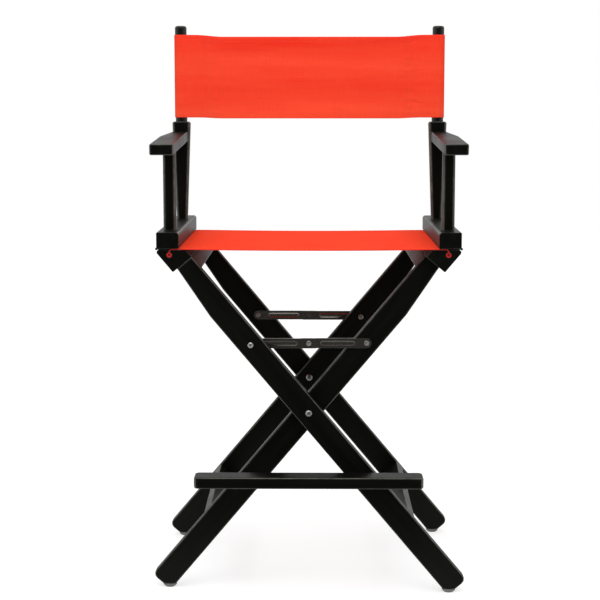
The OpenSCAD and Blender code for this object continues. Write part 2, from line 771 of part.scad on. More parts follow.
// Hinge leaf that lies on the plane z = 0 with its body on +Z, and its knuckles round the pin at pin_z
module hinge_leaf(pin_z, knuckles) {
    knuckle_len = hinge_len / 3;
    clear_r = hinge_barrel_d / 2 + knuckle_gap;
    difference() {
        union() {
            translate([clear_r, 0, 0]) cube([leaf_w - clear_r, hinge_len, leaf_t]);
            for (i = knuckles) translate([0, i * knuckle_len + knuckle_gap / 2, 0]) {
                cube([clear_r + 1, knuckle_len - knuckle_gap, leaf_t]);
                translate([0, knuckle_len - knuckle_gap, pin_z]) rotate([90, 0, 0])
                    cylinder(d = hinge_barrel_d, h = knuckle_len - knuckle_gap);
            }
        }
        translate([0, hinge_len + cut_over, pin_z]) rotate([90, 0, 0])
            cylinder(d = hinge_pin_d + 2 * running_gap, h = hinge_len + 2 * cut_over);
    }
}

// The two hinges of a side: leaves on the rail below, or on the arm frame above
module hinge_leaves(side, on_arm) {
    color(bright_steel) placed() for (end = ["front", "rear"]) at_end(end) at_side(side)
        translate([-hinge_x, hinge_inset - outer_far, hinge_z]) {
            if (on_arm) mirror([0, 0, 1]) translate([0, 0, -seat_gap / 2]) hinge_leaf(seat_gap / 2, [1]);
            else translate([0, 0, -seat_gap / 2]) hinge_leaf(seat_gap / 2, [0, 2]);
        }
}

module hinge_pins(side) {
    color(bright_steel) placed() for (end = ["front", "rear"]) at_end(end) at_side(side)
        rod_y(-hinge_x, hinge_z, hinge_pin_d, hinge_inset - outer_far, hinge_inset - outer_far + hinge_len);
}

// Footrest board with the hole for its pivot bolt and the notch that drops over the peg
module footrest_board() {
    half = footrest_len / 2;
    plan = box_corners(-half, -footrest_front, half, -footrest_back);
    notch_left = -peg_x - peg_d / 2 - peg_gap;
    notch_right = -peg_x + peg_d / 2 + peg_gap;
    notch_top = peg_z + peg_d / 2 + peg_gap;
    notch = [
        [notch_left, footrest_bottom - cut_over],
        [notch_right + (notch_top - footrest_bottom + cut_over) / tan(notch_slope),
         footrest_bottom - cut_over],
        [notch_right, notch_top],
        [notch_left, notch_top]
    ];
    color(black_wood) placed() difference() {
        translate([0, 0, footrest_bottom])
            soft_plate(plan, [for (p = plan) footrest_corner_r], footrest_t, edge_r);
        rod_y(footrest_bolt_x, footrest_height, footrest_bolt_d + 2 * running_gap,
              -footrest_back - footrest_bolt_grip - side_gap, cut_over - footrest_back);
        prism_y(notch, -footrest_back - peg_grip - cut_over, cut_over - footrest_back);
    }
}

// The footrest's pivot bolt turns in the outer front leg, with its head in the gap behind the leg
module footrest_bolt() {
    color(bright_steel) placed() {
        translate([footrest_bolt_x, side_gap - outer_near, footrest_height])
            mirror([0, 1, 0]) pan_head(pivot_head_d, brace_head_h);
        rod_y(footrest_bolt_x, footrest_height, footrest_bolt_d,
              -footrest_back - footrest_bolt_grip, side_gap * 2 - outer_near);
    }
}

module footrest_spacer() {
    color(bright_steel) placed() difference() {
        rod_y(footrest_bolt_x, footrest_height, footrest_spacer_d,
              side_gap - footrest_back, -outer_far - side_gap);
        rod_y(footrest_bolt_x, footrest_height, footrest_bolt_d + 2 * running_gap,
              -footrest_back, -outer_far);
    }
}

// Peg on the inner front leg, which carries the free end of the footrest
module footrest_peg() {
    color(bright_steel) placed() {
        rod_y(-peg_x, peg_z, peg_d, -footrest_back - peg_grip, -inner_far);
        rod_y(-peg_x, peg_z, peg_stub_d, -inner_far - cut_over, peg_stub_len - inner_far);
    }
}

pivot_bolts();
pivot_spacers();
pivot_cap_nuts();
seat_canvas();
back_canvas();

leg("outer", "front");  // outer_front_leg
leg("outer", "rear");  // outer_rear_leg
top_rail("outer");  // outer_top_rail
upper_stretcher("outer");  // outer_upper_stretcher
lower_stretcher("outer");  // outer_lower_stretcher
glides("outer");  // outer_glides
brace_bolts("outer");  // outer_brace_bolts
brace_washers("outer");  // outer_brace_washers
hinge_leaves("left", false);  // left_rail_hinge_leaves
seat_dowel("left");  // left_seat_dowel

leg("inner", "front");  // inner_front_leg
leg("inner", "rear");  // inner_rear_leg
top_rail("inner");  // inner_top_rail
upper_stretcher("inner");  // inner_upper_stretcher
lower_stretcher("inner");  // inner_lower_stretcher
glides("inner");  // inner_glides
brace_bolts("inner");  // inner_brace_bolts
brace_washers("inner");  // inner_brace_washers
hinge_leaves("right", false);  // right_rail_hinge_leaves
seat_dowel("right");  // right_seat_dowel
footrest_peg();

arm_rail("left");  // left_arm_rail
front_post("left");  // left_front_post
rear_post("left");  // left_rear_post
armrest("left");  // left_armrest
stick("left");  // left_stick
hinge_leaves("left", true);  // left_arm_hinge_leaves
hinge_pins("left");  // left_hinge_pins

arm_rail("right");  // right_arm_rail
front_post("right");  // right_front_post
rear_post("right");  // right_rear_post
armrest("right");  // right_armrest
stick("right");  // right_stick
hinge_leaves("right", true);  // right_arm_hinge_leaves
hinge_pins("right");  // right_hinge_pins

brace_link("front", "outer");  // front_left_brace_link
brace_rivet("front", "outer");  // front_left_brace_rivet
brace_link("front", "inner");  // front_right_brace_link
brace_rivet("front", "inner");  // front_right_brace_rivet
brace_link("rear", "outer");  // rear_left_brace_link
brace_rivet("rear", "outer");  // rear_left_brace_rivet
brace_link("rear", "inner");  // rear_right_brace_link
brace_rivet("rear", "inner");  // rear_right_brace_rivet

footrest_board();
footrest_bolt();
footrest_spacer();
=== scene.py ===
"""Looks of a folding directors chair of counter height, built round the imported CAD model.

The wooden parts, links, hinges and glides keep their CAD meshes and get their finishes here. The two
canvases and the cross-recessed screws are modelled here and stand for their CAD nodes.
"""

import json
import logging
import math
from dataclasses import dataclass, field
from enum import Enum
from fnmatch import fnmatchcase
from typing import Union

import bmesh
import bpy
import numpy as np
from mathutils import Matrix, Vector


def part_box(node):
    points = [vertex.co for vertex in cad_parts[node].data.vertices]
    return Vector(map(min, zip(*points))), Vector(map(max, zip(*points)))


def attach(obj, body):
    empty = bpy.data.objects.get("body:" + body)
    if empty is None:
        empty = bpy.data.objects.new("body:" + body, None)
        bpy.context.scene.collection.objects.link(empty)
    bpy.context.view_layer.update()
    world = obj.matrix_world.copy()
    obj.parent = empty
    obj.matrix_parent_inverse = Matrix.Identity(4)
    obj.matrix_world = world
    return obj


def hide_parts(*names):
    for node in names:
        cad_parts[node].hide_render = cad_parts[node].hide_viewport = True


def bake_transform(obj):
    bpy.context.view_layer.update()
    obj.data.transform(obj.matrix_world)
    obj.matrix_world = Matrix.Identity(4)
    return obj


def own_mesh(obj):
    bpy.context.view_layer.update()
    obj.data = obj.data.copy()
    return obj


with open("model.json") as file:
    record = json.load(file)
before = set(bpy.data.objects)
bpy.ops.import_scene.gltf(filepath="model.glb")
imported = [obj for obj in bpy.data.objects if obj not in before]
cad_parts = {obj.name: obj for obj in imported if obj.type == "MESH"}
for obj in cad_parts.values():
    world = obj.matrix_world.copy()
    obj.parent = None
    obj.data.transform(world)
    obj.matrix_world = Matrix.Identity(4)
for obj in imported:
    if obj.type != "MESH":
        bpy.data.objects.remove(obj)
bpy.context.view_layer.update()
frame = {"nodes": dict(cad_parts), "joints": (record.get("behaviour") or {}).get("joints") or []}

Array = np.ndarray
Colour = tuple[float, float, float]
Point = tuple[float, float, float]
Socket = Union[bpy.types.NodeSocket, float, int, tuple]
Range = tuple[Socket, Socket]

MM = 0.001
SAME_PLACE = 0.001 * MM
log = logging.getLogger("chair")


class Slot(Enum):
    """Material slots of the record that the new pieces take their finish from."""

    CANVAS = "canvas"
    BRIGHT_STEEL = "bright_steel"


class Side(Enum):
    """Side of the chair as seen from the front, with its sign along X."""

    LEFT = -1
    RIGHT = 1

    @property
    def label(self) -> str:
        """Word for the side in node and piece names."""
        return self.name.lower()

    @property
    def leg_frame(self) -> str:
        """Body of the leg frame whose rail is on this side."""
        return "outer_leg_frame" if self is Side.LEFT else "inner_leg_frame"

    @property
    def arm(self) -> str:
        """Body of the arm frame on this side."""
        return f"{self.label}_arm"


class GrainRun(Enum):
    """Direction in which the wood of a piece was sawn."""

    LEVEL_ACROSS = "level_across"
    LEVEL_DEEP = "level_deep"
    UPRIGHT = "upright"
    OUTER_LEG = "outer_leg"
    INNER_LEG = "inner_leg"
    DEEP_OUTER = "deep_outer"
    DEEP_INNER = "deep_inner"


def linear(red: int, green: int, blue: int) -> Colour:
    """Linear colour of a screen colour.

    Args:
        red: Red from 0 to 255, as a screen shows it.
        green: Green from 0 to 255.
        blue: Blue from 0 to 255.

    Returns:
        The three linear parts, from 0 to 1.
    """
    parts = np.array([red, green, blue]) / 255
    low = parts / 12.92
    high = ((parts + 0.055) / 1.055) ** 2.4
    return tuple(float(v) for v in np.where(parts <= 0.04045, low, high))


def smooth(value: Array, start: float, end: float) -> Array:
    """Smooth step of value: 0 before start, 1 after end, and 3t^2 - 2t^3 between them."""
    share = np.clip((value - start) / (end - start), 0, 1)
    return share * share * (3 - 2 * share)


def sine(place: Array, pace: float, start: Array | float = 0.0) -> Array:
    """Sine wave along a place, with its pace in radians per metre and its start in radians."""
    return np.sin(place * pace + start)


def distances(line: Array) -> Array:
    """Distance of each point of a line from its first point, along the line."""
    steps = np.linalg.norm(np.diff(line, axis=0), axis=1)
    return np.concatenate([[0.0], np.cumsum(steps)])


def box_of(node: str) -> tuple[Array, Array]:
    """Lowest and highest corner of a CAD node as arrays, in metres."""
    low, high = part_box(node)
    return np.array(low), np.array(high)


def middle_of(node: str) -> Array:
    """Middle of a CAD node's box, in metres."""
    low, high = box_of(node)
    return (low + high) / 2


def joint_of(name: str) -> dict:
    """The record's entry for a joint."""
    return next(joint for joint in frame["joints"] if joint["name"] == name)


def grid_faces(rows: int, columns: int, ring: bool = False) -> Array:
    """Four-cornered faces of a grid of points.

    Args:
        rows: Number of rows of points.
        columns: Number of points in a row.
        ring: True where the last column joins the first.

    Returns:
        Corner numbers, four to a face, counterclockwise seen from where rows x columns points.
    """
    row = np.arange(rows - 1)[:, None] * columns
    column = np.arange(columns if ring else columns - 1)[None, :]
    after = (column + 1) % columns
    corners = [row + column, row + columns + column, row + columns + after, row + after]
    return np.stack(corners, axis=-1).reshape(-1, 4)


def make_piece(name: str, points: Array, faces: Array, uv: Array | None = None) -> bpy.types.Object:
    """Mesh object at the origin, from arrays.

    Args:
        name: Name of the piece.
        points: Corners in metres, one row each.
        faces: Corner numbers, four to a face.
        uv: Flat place of each corner in metres, where the pattern follows the surface.

    Returns:
        The object, linked to the scene and smooth shaded.
    """
    mesh = bpy.data.meshes.new(name)
    mesh.from_pydata(points.reshape(-1, 3).tolist(), [], faces.tolist())
    if uv is not None:
        corner = np.empty(len(mesh.loops), np.int32)
        mesh.loops.foreach_get("vertex_index", corner)
        layer = mesh.uv_layers.new(name="cloth")
        layer.data.foreach_set("uv", uv.reshape(-1, 2)[corner].astype(np.float32).ravel())
    mesh.shade_smooth()
    mesh.validate()
    piece = bpy.data.objects.new(name, mesh)
    bpy.context.scene.collection.objects.link(piece)
    return piece


def dress(piece: bpy.types.Object, material: bpy.types.Material) -> None:
    """Puts one material on the whole piece.

    Args:
        piece: New piece or CAD node's object.
        material: Its finish.
    """
    piece.data.materials.clear()
    piece.data.materials.append(material)
    log.info("piece %s wears %s", piece.name, material.name)


class Wiring:
    """Short calls that add and join the nodes of one node tree."""

    def __init__(self, tree: bpy.types.NodeTree) -> None:
        """Starts on a tree, which keeps what it already holds."""
        self.tree = tree

    @classmethod
    def fresh(cls, owner: bpy.types.ID) -> "Wiring":
        """Starts on a new material or world, without the nodes that it came with."""
        owner.use_nodes = True
        owner.node_tree.nodes.clear()
        return cls(owner.node_tree)

    def feed(self, socket: bpy.types.NodeSocket, value: Socket) -> None:
        """Joins a socket to another one, or sets its own value, where a colour gets its opacity of 1."""
        if isinstance(value, bpy.types.NodeSocket):
            self.tree.links.new(value, socket)
        elif socket.type == "RGBA":
            socket.default_value = (*value, 1.0)
        else:
            socket.default_value = value

    def node(self, kind: str, inputs: dict | None = None, **settings: object) -> bpy.types.Node:
        """Adds a node.

        Args:
            kind: Blender's name for the node type.
            inputs: Values or sockets by input name or number.
            **settings: Properties of the node.

        Returns:
            The new node.
        """
        made = self.tree.nodes.new(kind)
        for name, value in settings.items():
            setattr(made, name, value)
        for key, value in (inputs or {}).items():
            self.feed(made.inputs[key], value)
        return made

    def maths(self, operation: str, *values: Socket, clamp: bool = False) -> bpy.types.NodeSocket:
        """Result of a Math node on the given values."""
        inputs = dict(enumerate(values))
        return self.node("ShaderNodeMath", inputs, operation=operation, use_clamp=clamp).outputs[0]

    def vector(self, operation: str, *values: Socket) -> bpy.types.NodeSocket:
        """First result of a Vector Math node on the given vectors."""
        return self.node("ShaderNodeVectorMath", dict(enumerate(values)), operation=operation).outputs[0]

    def spread(self, value: Socket, source: Range, target: Range = (0.0, 1.0)) -> bpy.types.NodeSocket:
        """Value carried from the source range to the target range, and held inside it."""
        keys = ("Value", "From Min", "From Max", "To Min", "To Max")
        return self.node("ShaderNodeMapRange", dict(zip(keys, (value, *source, *target)))).outputs[0]

    def mix(self, share: Socket, first: Socket, second: Socket) -> bpy.types.NodeSocket:
        """Number mixed from two by share."""
        return self.node("ShaderNodeMix", {0: share, 2: first, 3: second}).outputs[0]

    def blend(self, share: Socket, first: Socket, second: Socket) -> bpy.types.NodeSocket:
        """Colour mixed from two by share."""
        inputs = {0: share, 6: first, 7: second}
        return self.node("ShaderNodeMix", inputs, data_type="RGBA").outputs[2]

    def noise(self, place: Socket, scale: Socket, detail: float,
              roughness: float = 0.5) -> bpy.types.NodeSocket:
        """Grey value of a noise texture."""
        inputs = {"Vector": place, "Scale": scale, "Detail": detail, "Roughness": roughness}
        return self.node("ShaderNodeTexNoise", inputs).outputs[0]

    def streaks(self, place: Socket, scale: Point, detail: float,
                roughness: float = 0.5) -> bpy.types.NodeSocket:
        """Grey value of a noise that is drawn out, with its own scale along each axis."""
        return self.noise(self.vector("MULTIPLY", place, scale), 1.0, detail, roughness)

    def bump(self, height: Socket, distance: float, strength: float,
             below: Socket | None = None) -> bpy.types.NodeSocket:
        """Normal bent by a height.

        Args:
            height: Height from 0 to 1.
            distance: What a height of 1 stands for, in metres.
            strength: Share of the bump that shows.
            below: Normal that is bent already, or nothing.

        Returns:
            The bent normal.
        """
        inputs = {"Height": height, "Distance": distance, "Strength": strength}
        if below is not None:
            inputs["Normal"] = below
        return self.node("ShaderNodeBump", inputs).outputs[0]


@dataclass(frozen=True)
class EffectPlan:
    """Named inputs and outputs of a shared effect. An input without a start value is a vector."""

    name: str
    inputs: tuple[tuple[str, float | None], ...]
    outputs: tuple[str, ...]

    def open(self) -> tuple[Wiring, bpy.types.Node, bpy.types.Node]:
        """Makes the empty node group.

        Returns:
            Its wiring, its input node and its output node.
        """
        tree = bpy.data.node_groups.new(self.name, "ShaderNodeTree")
        for label, start in self.inputs:
            kind = "NodeSocketVector" if start is None else "NodeSocketFloat"
            socket = tree.interface.new_socket(label, in_out="INPUT", socket_type=kind)
            if start is not None:
                socket.default_value = start
        for label in self.outputs:
            tree.interface.new_socket(label, in_out="OUTPUT", socket_type="NodeSocketFloat")
        wiring = Wiring(tree)
        return wiring, wiring.node("NodeGroupInput"), wiring.node("NodeGroupOutput")


class Effects:
    """Shader node groups that more than one finish uses, each built once. Scales are in waves per metre."""

    def __init__(self) -> None:
        """Builds all of the groups."""
        self.weave = self.build_weave()
        self.grain = self.build_grain()
        self.wear_and_highlight = self.build_wear_and_highlight()
        self.corner = self.build_corner()
        self.smudge = self.build_smudge()
        self.brush = self.build_brush()

    @staticmethod
    def place(wiring: Wiring, tree: bpy.types.NodeTree, vector: Socket,
              **values: Socket) -> bpy.types.bpy_prop_collection:
        """Puts a group into a material.

        Args:
            wiring: The material's wiring.
            tree: The group.
            vector: Place that the group's pattern follows.
            **values: The material's own values by input name.

        Returns:
            The group's outputs by name.
        """
        return wiring.node("ShaderNodeGroup", {"Vector": vector, **values}, node_tree=tree).outputs

    @staticmethod
    def build_weave() -> bpy.types.NodeTree:
        """Plain weave: half a sine wave across each thread, over or under by the sign of their product.

        A thread's lift is its own wave, of which a share is scaled by the wave of the thread it crosses.
        """
        plan = EffectPlan("plain_weave", (("Vector", None), ("Pitch", 0.0011)), ("Height", "Slub"))
        wiring, given, out = plan.open()
        flat = given.outputs["Vector"]
        parts = wiring.node("ShaderNodeSeparateXYZ", {0: flat})
        turn = wiring.maths("DIVIDE", math.pi, given.outputs["Pitch"])
        warp = wiring.maths("SINE", wiring.maths("MULTIPLY", parts.outputs[0], turn))
        weft = wiring.maths("SINE", wiring.maths("MULTIPLY", parts.outputs[1], turn))
        over = wiring.maths("GREATER_THAN", wiring.maths("MULTIPLY", warp, weft), 0.0)
        warp_high = wiring.maths("ABSOLUTE", warp)
        weft_high = wiring.maths("ABSOLUTE", weft)
        scaled, plain = 0.45, 0.55
        lift_warp, lift_weft = (
            wiring.maths("MULTIPLY", own, wiring.maths("MULTIPLY_ADD", crossed, scaled, plain))
            for own, crossed in ((warp_high, weft_high), (weft_high, warp_high))
        )
        wiring.feed(out.inputs["Height"], wiring.mix(over, lift_weft, lift_warp))
        along = wiring.streaks(flat, scale=(30.0, 900.0, 1.0), detail=2.0)
        across = wiring.streaks(flat, scale=(900.0, 30.0, 1.0), detail=2.0)
        slub = wiring.maths("ADD", along, across)
        wiring.feed(out.inputs["Slub"], wiring.maths("MULTIPLY", slub, 0.5))
        return wiring.tree

    @staticmethod
    def build_grain() -> bpy.types.NodeTree:
        """Wood grain along the vector's X: long streaks, and short pores where a finer noise is high."""
        wiring, given, out = EffectPlan("wood_grain", (("Vector", None),), ("Streak", "Pores")).open()
        wood = given.outputs["Vector"]
        streak = wiring.streaks(wood, scale=(5.0, 70.0, 70.0), detail=5.0, roughness=0.6)
        wiring.feed(out.inputs["Streak"], streak)
        pore = wiring.streaks(wood, scale=(70.0, 900.0, 900.0), detail=2.0)
        wiring.feed(out.inputs["Pores"], wiring.spread(pore, source=(0.6, 0.75)))
        return wiring.tree

    @staticmethod
    def build_wear_and_highlight() -> bpy.types.NodeTree:
        """Rubbed edges with a painted highlight: how far a rounded normal departs from the real one, broken
        up by noise.
        """
        wiring, given, out = EffectPlan("edge_wear_and_highlight", (("Vector", None), ("Width", 0.0015)), ("Edge",)).open()
        rounded = wiring.node("ShaderNodeBevel", {"Radius": given.outputs["Width"]}, samples=4)
        plain = wiring.node("ShaderNodeNewGeometry")
        facing = wiring.node("ShaderNodeVectorMath", {0: rounded.outputs[0], 1: plain.outputs["Normal"]},
                             operation="DOT_PRODUCT").outputs["Value"]
        # Edge mask for rubbed edges and for painted edge highlights.
        edge = wiring.spread(facing, source=(0.995, 0.9))
        patch = wiring.noise(given.outputs["Vector"], scale=60.0, detail=4.0, roughness=0.65)
        patch = wiring.spread(patch, source=(0.42, 0.72), target=(0.25, 1.0))
        wiring.feed(out.inputs["Edge"], wiring.maths("MULTIPLY", edge, patch))
        return wiring.tree

    @staticmethod
    def build_corner() -> bpy.types.NodeTree:
        """Painted highlight on roundings: where the normal lies between the flat sides, so that no part of it
        is near 1.
        """
        inputs = (("Vector", None), ("Normal", None), ("Start", 0.9), ("End", 0.76))
        wiring, given, out = EffectPlan("painted_rounding_highlight", inputs, ("Edge",)).open()
        normal = wiring.vector("ABSOLUTE", given.outputs["Normal"])
        parts = wiring.node("ShaderNodeSeparateXYZ", {0: normal}).outputs
        most = wiring.maths("MAXIMUM", wiring.maths("MAXIMUM", parts[0], parts[1]), parts[2])
        # Painted highlight where the normal lies between the flat sides, broken up by noise.
        edge = wiring.spread(most, source=(given.outputs["Start"], given.outputs["End"]))
        patch = wiring.noise(given.outputs["Vector"], scale=30.0, detail=4.0, roughness=0.65)
        patch = wiring.spread(patch, source=(0.38, 0.66), target=(0.45, 1.0))
        wiring.feed(out.inputs["Edge"], wiring.maths("MULTIPLY", edge, patch))
        return wiring.tree

    @staticmethod
    def build_smudge() -> bpy.types.NodeTree:
        """Handling marks: broad soft patches and a fine speckle of dust."""
        plan = EffectPlan("smudge", (("Vector", None), ("Scale", 12.0)), ("Patch", "Dust"))
        wiring, given, out = plan.open()
        patch = wiring.noise(given.outputs["Vector"], given.outputs["Scale"], detail=3.0, roughness=0.55)
        wiring.feed(out.inputs["Patch"], wiring.spread(patch, source=(0.3, 0.7)))
        dust = wiring.noise(given.outputs["Vector"], scale=900.0, detail=1.0)
        wiring.feed(out.inputs["Dust"], wiring.spread(dust, source=(0.66, 0.78)))
        return wiring.tree

    @staticmethod
    def build_brush() -> bpy.types.NodeTree:
        """Fine drawing marks on metal: noise stretched along the vector's X."""
        wiring, given, out = EffectPlan("drawn_metal", (("Vector", None),), ("Marks",)).open()
        drawn = (120.0, 3000.0, 3000.0)
        marks = wiring.streaks(given.outputs["Vector"], scale=drawn, detail=3.0, roughness=0.6)
        wiring.feed(out.inputs["Marks"], marks)
        return wiring.tree


@dataclass(frozen=True)
class Finish:
    """Base of the finishes: a name, a shader with its constant sockets, and the effects that feed it."""

    name: str = "finish"

    def start(self, constants: dict[str, Socket]) -> tuple[bpy.types.Material, Wiring, bpy.types.Node]:
        """Makes the material with an empty Principled shader.

        Args:
            constants: Values of the shader's sockets that are the same all over.

        Returns:
            The material, its wiring and its shader.
        """
        material = bpy.data.materials.new(self.name)
        wiring = Wiring.fresh(material)
        shader = wiring.node("ShaderNodeBsdfPrincipled", constants)
        wiring.node("ShaderNodeOutputMaterial", {"Surface": shader.outputs[0]})
        return material, wiring, shader

    @staticmethod
    def object_place(wiring: Wiring, turn: Point = (0.0, 0.0, 0.0)) -> bpy.types.NodeSocket:
        """Object coordinates, turned by the given angles in radians."""
        place = wiring.node("ShaderNodeTexCoord").outputs["Object"]
        return wiring.node("ShaderNodeMapping", {"Vector": place, "Rotation": turn}).outputs[0]

    @staticmethod
    def object_normal(wiring: Wiring, turn: Point) -> bpy.types.NodeSocket:
        """Surface normal in the object's own frame, turned by the given angles in radians."""
        normal = wiring.node("ShaderNodeTexCoord").outputs["Normal"]
        inputs = {"Vector": normal, "Rotation": turn}
        return wiring.node("ShaderNodeMapping", inputs, vector_type="VECTOR").outputs[0]

    def make(self, effects: Effects) -> bpy.types.Material:
        """Builds the material from the shared effects."""
        raise NotImplementedError


@dataclass(frozen=True)
class Lacquer(Finish):
    """Black satin lacquer on sawn hardwood, thin enough for the grain to show in raking light."""

    name: str = "black_lacquer"
    run: GrainRun = GrainRun.UPRIGHT
    leg_lean: float = math.radians(50)
    body: Colour = linear(8, 9, 6)
    streak: Colour = linear(13, 14, 10)
    # Light grey of the painted highlights on roundings and edges, and of rubbed lacquer.
    rub_and_highlight: Colour = linear(132, 133, 123)
    gloss: float = 0.1
    roughness: float = 0.38
    roughness_change: float = 0.08
    rounding_highlight: float = 0.5
    rounding_start: float = 0.9
    edge_wear_and_highlight: float = 0.35
    edge_mask_width: float = 0.0018
    dust_roughness: float = 0.15

    def turn(self) -> Point:
        """Turn that brings the grain onto the X axis."""
        turns = {
            GrainRun.LEVEL_ACROSS: (0.0, 0.0, 0.0),
            GrainRun.LEVEL_DEEP: (0.0, 0.0, -math.pi / 2),
            GrainRun.UPRIGHT: (0.0, math.pi / 2, 0.0),
            GrainRun.OUTER_LEG: (0.0, math.pi - self.leg_lean, 0.0),
            GrainRun.INNER_LEG: (0.0, self.leg_lean, 0.0),
            GrainRun.DEEP_OUTER: (0.0, math.pi - self.leg_lean, -math.pi / 2),
            GrainRun.DEEP_INNER: (0.0, self.leg_lean, -math.pi / 2),
        }
        return turns[self.run]

    def make(self, effects: Effects) -> bpy.types.Material:
        """Body colour with streaks, rubbed edges with a painted highlight, a painted highlight on the
        roundings, and pores and ripples in the lacquer's surface.
        """
        material, wiring, shader = self.start({"Specular IOR Level": self.gloss})
        place = self.object_place(wiring, self.turn())
        normal = self.object_normal(wiring, self.turn())
        corner = effects.place(wiring, effects.corner, place, Normal=normal, Start=self.rounding_start)
        grain = effects.place(wiring, effects.grain, place)
        wear_and_highlight = effects.place(wiring, effects.wear_and_highlight, place, Width=self.edge_mask_width)
        smudge = effects.place(wiring, effects.smudge, place, Scale=9.0)
        tone = wiring.blend(wiring.spread(grain["Streak"], source=(0.4, 0.62)), self.body, self.streak)
        # Painted highlight: roundings and edges mixed toward light grey, with rubbed lacquer on the edges.
        highlight_and_rub = wiring.maths("MULTIPLY_ADD", corner["Edge"], self.rounding_highlight,
                           wiring.maths("MULTIPLY", wear_and_highlight["Edge"], self.edge_wear_and_highlight), clamp=True)
        wiring.feed(shader.inputs["Base Color"], wiring.blend(highlight_and_rub, tone, self.rub_and_highlight))
        rough = wiring.maths("MULTIPLY_ADD", smudge["Patch"], self.roughness_change, self.roughness)
        rough = wiring.maths("MULTIPLY_ADD", smudge["Dust"], self.dust_roughness, rough)
        wiring.feed(shader.inputs["Roughness"], rough)
        ripple = wiring.bump(grain["Streak"], distance=0.00012, strength=0.5)
        filled = wiring.maths("SUBTRACT", 1.0, grain["Pores"])
        skin = wiring.bump(filled, distance=0.00004, strength=0.6, below=ripple)
        wiring.feed(shader.inputs["Normal"], skin)
        return material


@dataclass(frozen=True)
class Canvas(Finish):
    """Plain woven cotton canvas, dyed orange red, with level bands of painted shade and painted light that
    follow the folds.

    A band is a share of the cloth's height and a tone there, from 0 for the most painted shade to 1 for the
    most painted light. Without bands the cloth has one tone.
    """

    name: str = "orange_canvas"
    dye: Colour = linear(254, 72, 45)
    faded: Colour = linear(255, 88, 58)
    deep: Colour = linear(226, 48, 28)
    # Colours of the painted shade and the painted light of the bands.
    band_shaded: Colour = linear(245, 50, 35)
    band_lit: Colour = linear(255, 87, 57)
    # Painted shade along the cloth's rounded edges, and its share.
    edge_shade: Colour = linear(206, 24, 40)
    edge_shade_share: float = 0.0
    fold_shade_bands: tuple[tuple[float, float], ...] = ()
    height: float = 0.153
    sheen: float = 0.01
    pitch: float = 0.0011
    fade_share: float = 0.3

    def fold_shade_tone(self, wiring: Wiring, flat: bpy.types.NodeSocket) -> bpy.types.NodeSocket:
        """Colour of the bands of painted shade and painted light, whose places wander along the cloth, with
        fine level streaks in them.
        """
        rise = wiring.node("ShaderNodeSeparateXYZ", {0: flat}).outputs[1]
        share = wiring.maths("DIVIDE", rise, self.height)
        wander = wiring.streaks(flat, scale=(5.0, 9.0, 1.0), detail=2.0)
        share = wiring.maths("ADD", share, wiring.spread(wander, source=(0.3, 0.7), target=(-0.08, 0.08)))
        ramp = wiring.node("ShaderNodeValToRGB", {0: share})
        ramp.color_ramp.interpolation = "B_SPLINE"
        stops = ramp.color_ramp.elements
        while len(stops) < len(self.fold_shade_bands):
            stops.new(0.5)
        for stop, (at, tone) in zip(stops, self.fold_shade_bands):
            stop.position = at
            stop.color = (tone, tone, tone, 1.0)
        streak = wiring.streaks(flat, scale=(4.0, 60.0, 1.0), detail=3.0)
        streak = wiring.spread(streak, source=(0.3, 0.7), target=(-0.2, 0.2))
        tone = wiring.maths("ADD", ramp.outputs[0], streak, clamp=True)
        return wiring.blend(tone, self.band_shaded, self.band_lit)

    def make(self, effects: Effects) -> bpy.types.Material:
        """Threads from the piece's own flat map, with painted shade between them, and broad fading and slubs.
        """
        material, wiring, shader = self.start({
            "Roughness": 0.92, "Specular IOR Level": 0.05, "Sheen Weight": self.sheen, "Sheen Roughness": 0.4,
            "Sheen Tint": (1.0, 0.4, 0.25),
        })
        flat = wiring.node("ShaderNodeUVMap", uv_map="cloth").outputs[0]
        weave = effects.place(wiring, effects.weave, flat, Pitch=self.pitch)
        smudge = effects.place(wiring, effects.smudge, flat, Scale=7.0)
        fade = wiring.maths("MULTIPLY", smudge["Patch"], self.fade_share)
        # Painted shade and painted light of the folds where bands are given, else the plain dye.
        ground = self.fold_shade_tone(wiring, flat) if self.fold_shade_bands else self.dye
        tone = wiring.blend(fade, ground, self.faded)
        slub = wiring.spread(weave["Slub"], source=(0.35, 0.65), target=(0.3, 0.0))
        tone = wiring.blend(slub, tone, self.deep)
        # Painted shade in the low places of the weave, between the threads.
        gap = wiring.spread(weave["Height"], source=(0.0, 0.45), target=(0.45, 0.0))
        tone = wiring.blend(gap, tone, self.deep)
        # Painted shade along the cloth's rounded edges.
        if self.edge_shade_share:
            edge = wiring.node("ShaderNodeAttribute", attribute_name="cut_edge").outputs["Fac"]
            tone = wiring.blend(wiring.maths("MULTIPLY", edge, self.edge_shade_share), tone, self.edge_shade)
        wiring.feed(shader.inputs["Base Color"], tone)
        threads = wiring.bump(weave["Height"], distance=0.00016, strength=0.55)
        slubs = wiring.bump(weave["Slub"], distance=0.0002, strength=0.4, below=threads)
        wiring.feed(shader.inputs["Normal"], slubs)
        return material


@dataclass(frozen=True)
class Thread(Finish):
    """Polyester sewing thread in the canvas's colour."""

    name: str = "sewing_thread"
    light: Colour = linear(250, 84, 56)
    dark: Colour = linear(216, 58, 38)

    def make(self, effects: Effects) -> bpy.types.Material:
        """Twisted plies: fine stripes across each stitch."""
        constants = {"Roughness": 0.5, "Sheen Weight": 0.2, "Specular IOR Level": 0.4}
        material, wiring, shader = self.start(constants)
        waves = {"Vector": self.object_place(wiring), "Scale": 900.0, "Distortion": 2.0}
        ply = wiring.node("ShaderNodeTexWave", waves, bands_direction="DIAGONAL").outputs[1]
        wiring.feed(shader.inputs["Base Color"], wiring.blend(ply, self.dark, self.light))
        wiring.feed(shader.inputs["Normal"], wiring.bump(ply, distance=0.00005, strength=0.5))
        return material


